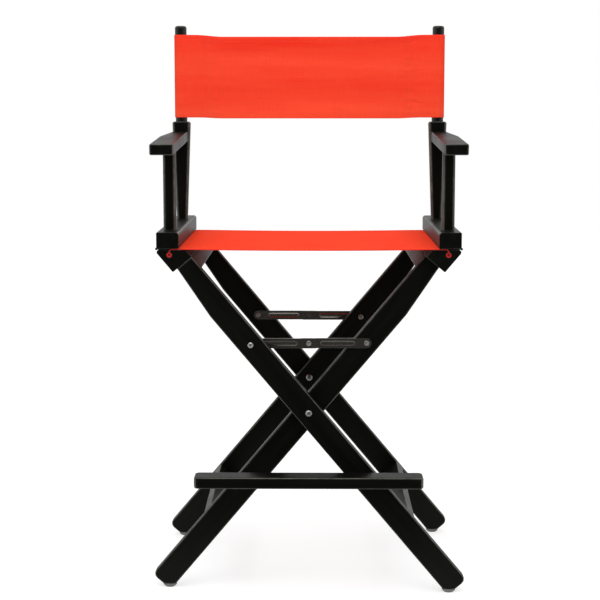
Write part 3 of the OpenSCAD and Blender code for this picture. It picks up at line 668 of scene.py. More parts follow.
@dataclass(frozen=True)
class Steel(Finish):
    """Plated steel, drawn or pressed, with small marks from handling."""

    name: str = "bright_zinc"
    plate: Colour = linear(205, 205, 203)
    dull: Colour = linear(150, 148, 143)
    rub_and_highlight: Colour = (0.8, 0.8, 0.79)
    roughness: float = 0.24
    roughness_change: float = 0.12
    smudge_scale: float = 90.0
    mark_height: float = 0.00002
    edge_mask_width: float = 0.0006
    edge_bright: float = 0.5
    mark_roughness: float = 0.08

    def make(self, effects: Effects) -> bpy.types.Material:
        """Metal whose dull patches are rougher, with drawing marks, and rubbed edges with a painted
        highlight.
        """
        material, wiring, shader = self.start({"Metallic": 1.0})
        place = self.object_place(wiring)
        marks = effects.place(wiring, effects.brush, place)["Marks"]
        patch = effects.place(wiring, effects.smudge, place, Scale=self.smudge_scale)["Patch"]
        edge = effects.place(wiring, effects.wear_and_highlight, place, Width=self.edge_mask_width)["Edge"]
        tone = wiring.blend(patch, self.plate, self.dull)
        # Painted highlight with rubbed metal along the edges.
        bright = wiring.maths("MULTIPLY", edge, self.edge_bright)
        wiring.feed(shader.inputs["Base Color"], wiring.blend(bright, tone, self.rub_and_highlight))
        rough = wiring.maths("MULTIPLY_ADD", patch, self.roughness_change, self.roughness)
        rough = wiring.maths("MULTIPLY_ADD", marks, self.mark_roughness, rough)
        wiring.feed(shader.inputs["Roughness"], rough)
        wiring.feed(shader.inputs["Normal"], wiring.bump(marks, self.mark_height, strength=0.5))
        return material


@dataclass(frozen=True)
class Moulded(Finish):
    """Moulded nylon with a fine sparked surface."""

    name: str = "moulded_nylon"
    body: Colour = linear(112, 112, 110)
    scuffed: Colour = linear(152, 150, 145)
    roughness: float = 0.42
    roughness_change: float = 0.15
    patch_scuff: float = 0.25

    def make(self, effects: Effects) -> bpy.types.Material:
        """Grey with scuffed edges, and a pebbled skin."""
        material, wiring, shader = self.start({"Specular IOR Level": 0.45})
        place = self.object_place(wiring)
        patch = effects.place(wiring, effects.smudge, place, Scale=120.0)["Patch"]
        edge = effects.place(wiring, effects.wear_and_highlight, place, Width=0.001)["Edge"]
        scuff = wiring.maths("MULTIPLY_ADD", patch, self.patch_scuff, edge, clamp=True)
        wiring.feed(shader.inputs["Base Color"], wiring.blend(scuff, self.body, self.scuffed))
        rough = wiring.maths("MULTIPLY_ADD", patch, self.roughness_change, self.roughness)
        wiring.feed(shader.inputs["Roughness"], rough)
        pebbles = wiring.noise(place, scale=2200.0, detail=2.0)
        wiring.feed(shader.inputs["Normal"], wiring.bump(pebbles, distance=0.00004, strength=0.6))
        return material


class FinishRack:
    """Makes each finish once and hands it out."""

    def __init__(self) -> None:
        """Builds the shared effects."""
        self.effects = Effects()
        self.made: dict[str, bpy.types.Material] = {}

    def get(self, finish: Finish) -> bpy.types.Material:
        """Material of a finish, made at the first call."""
        if finish.name not in self.made:
            self.made[finish.name] = finish.make(self.effects)
        return self.made[finish.name]

    def lacquer(self, run: GrainRun) -> bpy.types.Material:
        """Lacquer on wood whose grain runs the given way."""
        return self.get(Lacquer(name=f"black_lacquer_{run.value}", run=run, leg_lean=self.leg_lean()))

    @staticmethod
    def leg_lean() -> float:
        """Angle between a leg and the floor, from the pivot to the brace bolt above it."""
        pivot = joint_of("fold")["pos_m"]
        bolt = joint_of("front_left_brace_pivot")["pos_m"]
        return math.atan2(bolt[2] - pivot[2], pivot[0] - bolt[0])


@dataclass
class Studio:
    """Camera at the photographer's place, pale floor and backdrop, and plain soft light."""

    camera_place: Point = (0.00719, -2.73891, 0.85791)
    camera_pitch: float = math.radians(7.48)
    camera_yaw: float = math.radians(-0.5)
    lens: float = 90.0
    sensor: float = 36.0
    floor_reach: float = 7.0
    floor_front: float = 0.4
    floor_paint: float = 0.55
    floor_glow: float = 0.6
    ambient: float = 0.82
    room_shade: float = 0.04
    room_turn: float = -0.9
    room_end: float = -0.3
    top_light_power: float = 40.0
    top_light_size: float = 2.6
    top_light_place: Point = (-0.2, -1.1, 3.0)
    top_light_aim: Point = (0.0, 0.0, 0.6)
    floor_points: int = 9

    def build(self) -> None:
        """Makes the camera first, then the stage and the light."""
        self.make_camera()
        self.make_floor()
        self.make_world()
        self.make_top_light()
        bpy.context.scene.view_settings.view_transform = "Standard"

    def make_camera(self) -> None:
        """Camera level from side to side, tipped down by the pitch and turned by the yaw."""
        data = bpy.data.cameras.new("camera")
        data.lens = self.lens
        data.sensor_width = self.sensor
        camera = bpy.data.objects.new("camera", data)
        camera.location = self.camera_place
        camera.rotation_euler = (math.pi / 2 - self.camera_pitch, 0.0, -self.camera_yaw)
        bpy.context.scene.collection.objects.link(camera)
        bpy.context.scene.camera = camera

    @staticmethod
    def seen(wiring: Wiring) -> bpy.types.NodeSocket:
        """1 for rays that show the background: from the camera, or by way of gloss or glass."""
        path = wiring.node("ShaderNodeLightPath").outputs
        total = wiring.maths("ADD", path["Is Camera Ray"], path["Is Glossy Ray"])
        return wiring.maths("ADD", total, path["Is Transmission Ray"], clamp=True)

    def make_floor(self) -> None:
        """Pale floor that keeps the chair's shadow, and is lifted to white where the camera sees it.

        Its front part is seen by the camera alone, so that it doesn't light the chair's dark wood from below.
        """
        material = bpy.data.materials.new("pale_floor")
        wiring = Wiring.fresh(material)
        matt = wiring.node("ShaderNodeBsdfDiffuse", {"Color": (self.floor_paint,) * 3})
        lift = wiring.maths("MULTIPLY", self.seen(wiring), self.floor_glow)
        glow = wiring.node("ShaderNodeEmission", {"Strength": lift})
        both = wiring.node("ShaderNodeAddShader", {0: matt.outputs[0], 1: glow.outputs[0]})
        wiring.node("ShaderNodeOutputMaterial", {"Surface": both.outputs[0]})
        self.floor_strip("floor", -self.floor_front, self.floor_reach, material)
        front = self.floor_strip("floor_front", -self.floor_reach, -self.floor_front, material)
        front.visible_diffuse = False
        front.visible_glossy = False
        front.visible_shadow = False

    def floor_strip(self, name: str, start: float, end: float,
                    material: bpy.types.Material) -> bpy.types.Object:
        """Level rectangle of the floor, as wide as its reach.

        Args:
            name: Name of the strip.
            start: Its nearest place along Y.
            end: Its farthest place along Y.
            material: The floor's finish.

        Returns:
            The strip.
        """
        count = self.floor_points
        along_x = np.linspace(-self.floor_reach, self.floor_reach, count)
        across, deep = np.meshgrid(along_x, np.linspace(start, end, count), indexing="ij")
        points = np.stack([across, deep, np.zeros_like(across)], axis=-1)
        strip = make_piece(name, points, grid_faces(count, count)[:, ::-1])
        strip.data.materials.append(material)
        return strip

    def make_world(self) -> None:
        """White backdrop where it is seen, soft light elsewhere, and a dim room behind the photographer."""
        world = bpy.data.worlds.new("studio")
        bpy.context.scene.world = world
        wiring = Wiring.fresh(world)
        path = wiring.node("ShaderNodeLightPath").outputs
        way = wiring.node("ShaderNodeTexCoord").outputs["Generated"]
        ahead = wiring.node("ShaderNodeSeparateXYZ", {0: way}).outputs[1]
        room = wiring.spread(ahead, (self.room_turn, self.room_end), (self.room_shade, 1.0))
        direct = wiring.maths("ADD", path["Is Camera Ray"], path["Is Transmission Ray"], clamp=True)
        gloss = wiring.mix(path["Is Glossy Ray"], self.ambient, room)
        strength = wiring.mix(direct, gloss, 1.0)
        back = wiring.node("ShaderNodeBackground", {"Color": (1.0, 1.0, 1.0), "Strength": strength})
        wiring.node("ShaderNodeOutputWorld", {"Surface": back.outputs[0]})

    def make_top_light(self) -> None:
        """Large square lamp above and a little in front, aimed at the seat."""
        data = bpy.data.lights.new("top_light", "AREA")
        data.shape = "SQUARE"
        data.size = self.top_light_size
        data.energy = self.top_light_power
        lamp = bpy.data.objects.new("top_light", data)
        lamp.location = self.top_light_place
        aim = Vector(self.top_light_aim) - lamp.location
        lamp.rotation_euler = aim.to_track_quat("-Z", "Y").to_euler()
        bpy.context.scene.collection.objects.link(lamp)


@dataclass
class StitchRow:
    """Row of lockstitches on cloth, each a short bead of thread whose ends dive into the weave.

    The tip is the share of a stitch that is left out at each end, and the lift is the share of the thread's
    radius by which the stitch stands up in its middle.
    """

    pitch: float = 3.4 * MM
    length: float = 2.7 * MM
    radius: float = 0.28 * MM
    tip: float = 0.02
    lift: float = 0.4
    rings: int = 5
    sides: int = 6

    def beads(self, line: Array, out: Array) -> tuple[Array, Array]:
        """Beads along a line.

        A bead is the tube whose radius is the thread's times the root of sin(pi s), for s from 0 to 1 along
        the stitch, with its middle line lifted off the cloth by the same wave.

        Args:
            line: Points on the cloth's surface, one row each.
            out: Direction away from the cloth.

        Returns:
            Points and faces of all beads.
        """
        travelled = distances(line)
        starts = np.arange(self.pitch / 2, travelled[-1] - self.length, self.pitch)
        share = np.linspace(self.tip, 1.0 - self.tip, self.rings)
        at = starts[:, None] + self.length * share[None, :]
        middle = np.stack([np.interp(at, travelled, line[:, k]) for k in range(3)], axis=-1)
        wave = np.sin(np.pi * share)
        away = np.asarray(out) / np.linalg.norm(out)
        along = middle[:, -1] - middle[:, 0]
        along /= np.linalg.norm(along, axis=1, keepdims=True)
        aside = np.cross(along, away)
        angle = np.linspace(0, 2 * np.pi, self.sides, endpoint=False)
        middle = middle + (wave * self.radius * self.lift)[None, :, None] * away
        spoke = np.cos(angle)[None, :, None] * aside[:, None, :] + np.sin(angle)[None, :, None] * away
        thick = self.radius * np.sqrt(wave)
        points = middle[:, :, None, :] + thick[None, :, None, None] * spoke[:, None, :, :]
        one = grid_faces(self.rings, self.sides, ring=True)[:, ::-1]
        count = self.rings * self.sides
        faces = one[None] + (np.arange(len(starts)) * count)[:, None, None]
        return points.reshape(-1, 3), faces.reshape(-1, 4)

    def piece(self, name: str, lines: list[tuple[Array, Point]]) -> bpy.types.Object:
        """One mesh of several rows.

        Args:
            name: Name of the piece.
            lines: For each row its points and the direction away from the cloth.

        Returns:
            The object.
        """
        points, faces, count = [], [], 0
        for line, out in lines:
            row_points, row_faces = self.beads(line, np.array(out))
            points.append(row_points)
            faces.append(row_faces + count)
            count += len(row_points)
        return make_piece(name, np.concatenate(points), np.concatenate(faces))


@dataclass
class Cloth:
    """Sizes that both canvases share, and what turns a grid of points into hemmed cloth."""

    thickness: float = 1.1 * MM
    hem_extra: float = 0.5 * MM
    hem_width: float = 10.0 * MM
    stitch_inset: float = 8.2 * MM
    edge_points: int = 4
    hem_points: int = 4
    hem_step: float = 0.6 * MM
    sharp_from: float = math.radians(55)

    def cross_lines(self, length: float, count: int) -> Array:
        """Places across a panel, with a close pair where each hem ends.

        Args:
            length: Width of the panel between its two hemmed edges.
            count: Number of places between the hems.

        Returns:
            Distances from the first edge.
        """
        hem = np.linspace(0.0, self.hem_width, self.hem_points)
        middle = np.linspace(self.hem_width + self.hem_step, length - self.hem_width - self.hem_step, count)
        return np.concatenate([hem, middle, length - hem[::-1]])

    def hem_mask(self, place: Array) -> Array:
        """1 within a hem's width of the lowest or the highest place, else 0."""
        near = np.minimum(place - place.min(), place.max() - place)
        return (near <= self.hem_width + SAME_PLACE).astype(float)

    @staticmethod
    def unit(vectors: Array) -> Array:
        """Vectors brought to length 1."""
        return vectors / np.linalg.norm(vectors, axis=-1, keepdims=True)

    def end_caps(self, rows: int, ring: int, columns: int) -> Array:
        """Faces that close the two ends of a shell, as quads between opposite points of its loops.

        Args:
            rows: Number of loops.
            ring: Number of points in a loop.
            columns: Number of points across the cloth.

        Returns:
            Corner numbers, four to a face.
        """
        start = 2 * columns + self.edge_points + self.edge_points // 2
        step = np.arange(ring // 2 - 1)
        one, two = (start + step) % ring, (start + step + 1) % ring
        three, four = (start - 2 - step) % ring, (start - 1 - step) % ring
        first = np.stack([one, two, three, four], axis=1)
        return np.concatenate([first, first[:, ::-1] + (rows - 1) * ring])

    def panel(self, name: str, points: Array, flat: Array, hem: Array,
              flip: bool = False) -> bpy.types.Object:
        """Hemmed cloth of real thickness from its middle surface.

        The shell is a closed loop carried along the rows: the face at half the thickness along the surface's
        normal, half a circle round the far edge, the back with the hem's extra layer, and half a circle round
        the near edge.

        Args:
            name: Name of the piece.
            points: Middle surface as rows x columns of points.
            flat: Flat place of each point in metres.
            hem: 1 where the cloth is doubled by a hem, else 0.
            flip: True where the rows run so that the surface's normal would point into the cloth's back.

        Returns:
            The object.
        """
        if flip:
            points, flat, hem = points[::-1], flat[::-1], hem[::-1]
        across = np.gradient(points, axis=1)
        out = self.unit(np.cross(np.gradient(points, axis=0), across))
        across = self.unit(across)
        half = self.thickness / 2
        front = points + out * half
        back = points - out * (half + self.hem_extra * hem[..., None])
        turn = np.linspace(0.0, np.pi, self.edge_points + 2)[1:-1]

        def round_edge(column: int, sign: float, angle: Array) -> Array:
            """Half circle round one edge, from the angle's start to its end."""
            middle = (front[:, column] + back[:, column]) / 2
            radius = np.linalg.norm(front[:, column] - back[:, column], axis=-1)[:, None, None] / 2
            up, aside = out[:, column][:, None], sign * across[:, column][:, None]
            return middle[:, None] + radius * (np.cos(angle)[:, None] * up + np.sin(angle)[:, None] * aside)

        far, near = round_edge(-1, 1.0, turn), round_edge(0, -1.0, turn[::-1])
        loops = np.concatenate([front, far, back[:, ::-1], near], axis=1)
        rows, columns = points.shape[:2]
        ring = loops.shape[1]
        column, edge = np.arange(columns), np.ones(self.edge_points, int)
        source = np.concatenate([column, edge * (columns - 1), column[::-1], edge * 0])
        faces = np.concatenate([grid_faces(rows, ring, ring=True), self.end_caps(rows, ring, columns)])
        piece = make_piece(name, loops, faces, flat[:, source])
        on_edge = np.concatenate([np.zeros(columns), edge, np.zeros(columns), edge])
        mark = piece.data.attributes.new("cut_edge", "FLOAT", "POINT")
        mark.data.foreach_set("value", np.tile(on_edge, rows).astype(np.float32))
        piece.data.set_sharp_from_angle(angle=self.sharp_from)
        return piece


@dataclass
class SeatCanvas(Cloth):
    """Seat: a taut sheet in two halves that meet in the middle, with a loop round each rail's dowel."""

    gap: float = 0.3 * MM
    lip: float = 4.0 * MM
    sag: float = 1.8 * MM
    ripple: float = 0.25 * MM
    neck: float = 1.5 * MM
    loop_start: float = 392.0
    loop_end: float = 150.0
    strand: float = 2.4 * MM
    strand_steps: int = 5
    loop_steps: int = 30
    lead_steps: int = 7
    lip_steps: int = 8
    half_steps: int = 70
    deep_steps: int = 70

    def section(self) -> Array:
        """Line of the cloth in the front view, from the loop's sewn end to the chair's middle, on the left.

        It is a straight strand from below the neck that touches the dowel's circle, most of a turn round the
        dowel, a cubic curve up into the groove's neck, a quarter turn over the rail's lip, and the level run
        to x = 0.

        Returns:
            Rows of x and z.
        """
        dowel = middle_of("left_seat_dowel")[[0, 2]]
        low, high = box_of("left_seat_dowel")
        rail_top = box_of("outer_top_rail")[1][2]
        off = self.gap + self.thickness / 2
        radius = (high[0] - low[0]) / 2 + off
        angle = np.radians(np.linspace(self.loop_start, self.loop_end, self.loop_steps))
        loop = dowel + radius * np.stack([np.cos(angle), np.sin(angle)], axis=1)
        tangent = np.array([-np.sin(angle[0]), np.cos(angle[0])])
        strand = loop[0] + tangent * np.linspace(self.strand, 0.0, self.strand_steps)[:-1, None]
        centre = np.array([dowel[0] + off + self.lip, rail_top - self.lip])
        quarter = np.radians(np.linspace(180.0, 90.0, self.lip_steps))
        over = centre + (self.lip + off) * np.stack([np.cos(quarter), np.sin(quarter)], axis=1)
        leave = -np.array([-np.sin(angle[-1]), np.cos(angle[-1])])
        arrive = np.array([0.0, 1.0])
        reach = np.linalg.norm(over[0] - loop[-1])
        share = np.linspace(0.0, 1.0, self.lead_steps)[1:-1, None]
        lead = ((1 + 2 * share) * (1 - share) ** 2 * loop[-1] + share * (1 - share) ** 2 * leave * reach
                + share ** 2 * (3 - 2 * share) * over[0] + share ** 2 * (share - 1) * arrive * reach)
        level = np.linspace(over[-1, 0], 0.0, self.half_steps)[1:]
        level = np.stack([level, np.full_like(level, over[-1, 1])], axis=1)
        return np.concatenate([strand, loop, lead, over, level])

    def heights(self, across: Array, deep: Array) -> Array:
        """How far the cloth lies above its level: a parabola of sag between the rails, and a few ripples.

        Args:
            across: Distance from the middle along X.
            deep: Place along Y.

        Returns:
            Heights in metres, below zero where it sags.
        """
        edge = abs(box_of("outer_top_rail")[1][0])
        inside = np.clip(1.0 - (across / edge) ** 2, 0.0, 1.0)
        short = sine(deep, pace=107.0, start=across * 9.0)
        wave = sine(deep, pace=61.0, start=0.7) + 0.6 * short
        return -self.sag * inside + self.ripple * wave * np.clip(inside * 4.0, 0.0, 1.0) * inside

    def pull(self, x: Array, edge: float) -> Array:
        """How far the front and rear edges are drawn in: most in the chair's middle, nothing at the edge."""
        return self.neck * np.clip(1.0 - (x / edge) ** 2, 0.0, 1.0)

    def half(self, side: Side) -> bpy.types.Object:
        """One half of the seat.

        Args:
            side: Which half.

        Returns:
            The sheet.
        """
        low, high = box_of("seat_canvas")
        wide = high[1] - low[1]
        line = self.section()
        travelled = distances(line)
        deep = low[1] + self.cross_lines(wide, self.deep_steps)
        x, y = np.meshgrid(line[:, 0], deep, indexing="ij")
        hem = self.hem_mask(y)
        middle_y = (low[1] + high[1]) / 2
        y = middle_y + (y - middle_y) * (1.0 - 2.0 * self.pull(x, line[:, 0].min()) / wide)
        upper = line[:, 1] >= line[-1, 1] - SAME_PLACE
        z = line[:, 1][:, None] + np.where(upper[:, None], self.heights(x, y), 0.0)
        uv = np.stack([np.broadcast_to(travelled[:, None], y.shape), y], axis=-1)
        points = np.stack([x * -side.value, y, z], axis=-1)
        piece = self.panel(f"seat_{side.label}_half", points, uv, hem, flip=side is Side.RIGHT)
        self.hang(piece, side)
        return piece

    def hang(self, piece: bpy.types.Object, side: Side) -> None:
        """Bakes a piece of the seat's transform into its mesh."""
        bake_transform(piece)

    def seams(self, side: Side) -> bpy.types.Object:
        """Rows of stitches along the front and rear hems of one half, above and below."""
        low, high = box_of("seat_canvas")
        line = self.section()
        x = line[line[:, 1] >= line[-1, 1] - SAME_PLACE, 0]
        rows = []
        for edge, inward in ((low[1], 1.0), (high[1], -1.0)):
            y = edge + inward * (self.stitch_inset + self.pull(x, line[:, 0].min()))
            z = line[-1, 1] + self.heights(x, y)
            for out in (1.0, -1.0):
                surface = z + out * self.thickness / 2 - (self.hem_extra if out < 0 else 0.0)
                rows.append((np.stack([x * -side.value, y, surface], axis=1), (0.0, 0.0, out)))
        return StitchRow().piece(f"seat_{side.label}_stitches", rows)

    def build(self, rack: FinishRack) -> None:
        """Builds and dresses both halves and their stitches."""
        # Seat cloth: a dye and fade with less green and blue than the default, as painted shade against the
        # seat's stronger top light, and painted shade along its front and rear edges, round the loops too.
        cloth = rack.get(Canvas(dye=linear(253, 64, 31), faded=linear(255, 84, 50), edge_shade_share=0.55))
        for side in Side:
            half = self.half(side)
            dress(half, cloth)
            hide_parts("seat_canvas")
            seams = self.seams(side)
            self.hang(seams, side)
            dress(seams, rack.get(Thread()))


@dataclass(frozen=True)
class Wrinkle:
    """Short crease in the back canvas: a ridge with a bell-shaped section and bell-shaped ends."""

    x: float
    height: float
    length: float
    tilt: float
    rise: float
    width: float = 2.6 * MM

    def lift(self, x: Array, height: Array) -> Array:
        """Rise times exp(-(across / width)^2) times exp(-(along / length)^2), turned by the tilt."""
        along = (x - self.x) * math.cos(self.tilt) + (height - self.height) * math.sin(self.tilt)
        across = (height - self.height) * math.cos(self.tilt) - (x - self.x) * math.sin(self.tilt)
        return self.rise * np.exp(-(across / self.width) ** 2 - (along / self.length) ** 2)


@dataclass
class BackCanvas(Cloth):
    """Back: a front layer from stick to stick, whose ends turn round the sticks and are sewn behind it."""

    gap: float = 0.3 * MM
    sleeve: float = 62.0 * MM
    overlap: float = 7.0 * MM
    seam_pitch: float = 4.0 * MM
    top_dip: float = 3.2 * MM
    bottom_dip: float = 1.8 * MM
    pucker: float = 0.2 * MM
    ease: float = 1.0 * MM
    folded_clearance: float = 0.35 * MM
    fold_places: tuple[float, ...] = (0.10, 0.36, 0.69, 0.89)
    fold_rises: tuple[float, ...] = (1.5 * MM, -1.3 * MM, 1.9 * MM, -2.1 * MM)
    fold_half_width: float = 0.075
    pucker_place: float = 5.0 * MM
    pucker_reach: float = 13.0 * MM
    left_pucker_share: float = 0.45
    seam_inset: float = 1.5 * MM
    seam_end: float = 2.0 * MM
    wrinkles: tuple[Wrinkle, ...] = (
        Wrinkle(0.200, 0.028, 0.010, -0.25, 0.8 * MM),
        Wrinkle(0.208, 0.087, 0.009, 0.30, 0.4 * MM),
        Wrinkle(0.178, 0.076, 0.010, 0.15, 0.35 * MM),
        Wrinkle(0.190, 0.059, 0.007, 0.10, 0.35 * MM),
        Wrinkle(0.197, 0.143, 0.013, 0.10, 0.7 * MM),
        Wrinkle(0.192, 0.015, 0.009, -0.50, 0.5 * MM),
        Wrinkle(-0.186, 0.139, 0.011, -0.10, 0.35 * MM),
        Wrinkle(-0.181, 0.031, 0.009, 0.20, 0.35 * MM),
    )
    # Painted shade and painted light of the folds, as shares of the height and tones: low where the folds
    # face down, high where they face up.
    fold_shade_bands: tuple[tuple[float, float], ...] = (
        (0.0, 1.0), (0.12, 0.92), (0.34, 0.32), (0.5, 0.5), (0.68, 0.8), (0.9, 0.02), (1.0, 0.35),
    )
    wall_steps: int = 5
    arc_steps: int = 40
    flap_steps: int = 24
    panel_steps: int = 220
    high_steps: int = 100
    seam_row_points: int = 60
    hem_row_points: int = 160

    def __post_init__(self) -> None:
        """Reads the places of the sticks and of the CAD canvas."""
        low, high = box_of("left_stick")
        self.stick_x = abs(middle_of("left_stick")[0])
        self.stick_y = middle_of("left_stick")[1]
        self.radius = (high[0] - low[0]) / 2 + self.gap + self.thickness / 2
        canvas_low, canvas_high = box_of("back_canvas")
        self.bottom, self.top = canvas_low[2], canvas_high[2]
        self.seam = self.sleeve - (self.radius + self.thickness / 2)
        self.lean = math.acos(self.radius / self.seam)
        self.join = self.radius + self.thickness / 2

    def flat_at(self, inward: Array) -> Array:
        """Distance of a sleeve's straight wall from the middle plane, at a distance inward from the stick.

        The wall meets the middle plane in a parabola as long as the ease, so that the cloth doesn't kink.
        """
        wall = (self.seam - inward) / math.tan(self.lean)
        eased = (wall + self.ease) ** 2 / (4 * self.ease)
        return np.where(wall > self.ease, wall, np.where(wall < -self.ease, 0.0, eased))

    def tube_line(self) -> Array:
        """Plan of a sleeve round its stick, as rows of inward and rearward distance from its middle."""
        end = np.array([self.join, self.flat_at(self.join)])
        angle = np.linspace(self.lean, 2 * math.pi - self.lean, self.arc_steps)
        arc = self.radius * np.stack([np.cos(angle), np.sin(angle)], axis=1)
        share = np.linspace(0.0, 1.0, self.wall_steps)[:-1, None]
        first = end + (arc[0] - end) * share
        return np.concatenate([first, arc, (first * (1, -1))[::-1]])

    def heights(self, count: int) -> Array:
        """Places up the canvas as distances from its lower edge."""
        return self.cross_lines(self.top - self.bottom, count)

    def drop(self, x: Array, height: Array) -> Array:
        """How far the cloth between the sleeves hangs below them, more at the top than at the bottom."""
        full = self.top - self.bottom
        share = smooth(self.stick_x - np.abs(x), start=30.0 * MM, end=80.0 * MM)
        return share * (self.bottom_dip + (self.top_dip - self.bottom_dip) * height / full)

    def waves(self, x: Array, height: Array) -> Array:
        """Rearward bulge of the front layer: level folds from sleeve to sleeve, and puckers at the seams.

        Each fold is a step of its own rise, tanh of the distance from its place up the cloth, which wanders
        along the cloth. The puckers are waves up the seam that fade within a bell curve beside it.

        Args:
            x: Place along X.
            height: Distance from the lower edge.

        Returns:
            Distance in metres, above zero toward the rear.
        """
        share = height / (self.top - self.bottom)
        slack = smooth(self.stick_x - np.abs(x), start=24.0 * MM, end=110.0 * MM)
        bulge = np.zeros_like(share)
        for number, (place, rise) in enumerate(zip(self.fold_places, self.fold_rises)):
            wander = 0.035 * sine(x, pace=9.0, start=2.1 * number)
            wander = wander + 0.02 * sine(x, pace=23.0, start=1.3 * number)
            bulge = bulge + rise * (np.tanh((share - place - wander) / self.fold_half_width) + 1.0) / 2
        inward = self.stick_x - np.abs(x) - self.seam
        near = np.exp(-((inward - self.pucker_place) / self.pucker_reach) ** 2)
        strength = np.where(x > 0, 1.0, self.left_pucker_share)
        slant = (sine(height, pace=410.0, start=x * 70.0 + 2.2 * sine(height, pace=61.0))
                 + 0.7 * sine(height, pace=233.0, start=1.3 - x * 90.0))
        creases = sum(wrinkle.lift(x, height) for wrinkle in self.wrinkles)
        return slack * bulge + creases + self.pucker * strength * near * slant * np.sin(np.pi * share) ** 0.5

    def front_layer(self, x: Array, height: Array) -> Array:
        """Points of the front layer's middle surface, at x and at a distance from the lower edge."""
        inward = self.stick_x - np.abs(x)
        y = self.stick_y - self.flat_at(inward) + self.waves(x, height)
        z = self.bottom + height - self.drop(x, height)
        return np.stack([x, y, z], axis=-1)

    def fold_up(self, piece: bpy.types.Object) -> None:
        """Lets a piece between the sticks go with the left arm, with a mesh of its own."""
        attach(piece, Side.LEFT.arm)
        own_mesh(piece)

    def share_left(self) -> float:
        """Share of the width between the sleeves' tubes that is left when folded, less a clearance."""
        fold = joint_of("fold")
        hinge = joint_of("left_arm_hinge")["pos_m"]
        turn = math.radians(fold["range_deg"][1])
        side, rise = hinge[0] - fold["pos_m"][0], hinge[2] - fold["pos_m"][2]
        moved = side * math.cos(turn) + rise * math.sin(turn) - side
        wide = 2 * (self.stick_x - self.join)
        return (wide - 2 * moved - self.folded_clearance) / wide

    @staticmethod
    def lay_flat(piece: bpy.types.Object, points: Array, height: Array, rests_on: list[str]) -> None:
        """Does nothing with the layer.

        Args:
            piece: The layer; not used.
            points: Its middle surface, whose length is measured half way up; not used.
            height: Places up the layer; not used.
            rests_on: Nodes or pieces that hold it; not used.
        """

    def tube(self, side: Side) -> bpy.types.Object:
        """Sleeve's tube, which goes round the stick and rides with the arm."""
        line = self.tube_line()
        travelled = distances(line)
        height = self.heights(self.high_steps)
        inward, high = np.meshgrid(line[:, 0], height, indexing="ij")
        x = side.value * (self.stick_x - inward)
        y = np.broadcast_to((self.stick_y - line[:, 1])[:, None], x.shape)
        z = self.bottom + high - self.drop(x, high)
        beyond = side.value * (self.stick_x - self.join + travelled)
        uv = np.stack([np.broadcast_to(beyond[:, None], x.shape), high], axis=-1)
        points = np.stack([x, y, z], axis=-1)
        piece = self.panel(f"back_{side.label}_tube", points, uv, self.hem_mask(high), flip=side is Side.LEFT)
        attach(piece, side.arm)
        return piece

    def front(self) -> bpy.types.Object:
        """Front layer between the two tubes."""
        edge = self.stick_x - self.join
        height = self.heights(self.high_steps)
        wide, high = np.meshgrid(np.linspace(-edge, edge, self.panel_steps), height, indexing="ij")
        points = self.front_layer(wide, high)
        piece = self.panel("back_front_layer", points, np.stack([wide, high], axis=-1), self.hem_mask(high))
        self.lay_flat(piece, points, height, ["left_stick", "right_stick"])
        return piece

    def flap(self, side: Side) -> bpy.types.Object:
        """Rear wall of a sleeve, from the tube to where it is sewn behind the front layer."""
        inward = np.linspace(self.join, self.seam + self.overlap, self.flap_steps)
        height = self.heights(self.high_steps)
        deep, high = np.meshgrid(inward, height, indexing="ij")
        x = side.value * (self.stick_x - deep)
        front = self.front_layer(x, high)
        behind = front[..., 1] + self.thickness + self.hem_extra
        y = np.maximum(self.stick_y + self.flat_at(deep), behind)
        points = np.stack([x, y, front[..., 2]], axis=-1)
        uv = np.stack([x, high], axis=-1)
        hem = self.hem_mask(high)
        piece = self.panel(f"back_{side.label}_flap", points, uv, hem, flip=side is Side.RIGHT)
        self.lay_flat(piece, points, height, ["back_front_layer"])
        return piece

    def stitch_lines(self, line: Array, behind: float) -> list[tuple[Array, Point]]:
        """Rows of one seam on both faces of the cloth.

        Args:
            line: Seam on the front layer's middle surface.
            behind: Distance from it to the rear face of all the layers there.

        Returns:
            For each row its points and the direction away from the cloth.
        """
        faces = ((-1.0, self.thickness / 2), (1.0, behind))
        return [(line + np.array([0.0, out * offset, 0.0]), (0.0, out, 0.0)) for out, offset in faces]

    def seams(self) -> bpy.types.Object:
        """Double rows up the two sleeve seams, and single rows along the upper and lower hems."""
        full = self.top - self.bottom
        rows = []
        up = np.linspace(self.seam_end, full - self.seam_end, self.seam_row_points)
        for side in Side:
            for extra in (self.seam_inset, self.seam_inset + self.seam_pitch):
                x = np.full_like(up, side.value * (self.stick_x - self.seam - extra))
                rows += self.stitch_lines(self.front_layer(x, up), self.thickness * 1.5 + self.hem_extra)
        edge = self.stick_x - self.join
        wide = np.linspace(-edge, edge, self.hem_row_points)
        for height in (self.stitch_inset, full - self.stitch_inset):
            line = self.front_layer(wide, np.full_like(wide, height))
            rows += self.stitch_lines(line, self.thickness / 2 + self.hem_extra)
        return StitchRow().piece("back_stitches", rows)

    def build(self, rack: FinishRack) -> None:
        """Builds and dresses the layers and their stitches."""
        cloth = rack.get(Canvas(name="orange_canvas_back", fold_shade_bands=self.fold_shade_bands, height=self.top - self.bottom))
        front = self.front()
        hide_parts("back_canvas")
        flaps = [self.flap(side) for side in Side]
        for piece in (front, *flaps):
            self.fold_up(piece)
            dress(piece, cloth)
        for side in Side:
            dress(self.tube(side), cloth)
        seams = self.seams()
        self.fold_up(seams)
        dress(seams, rack.get(Thread()))


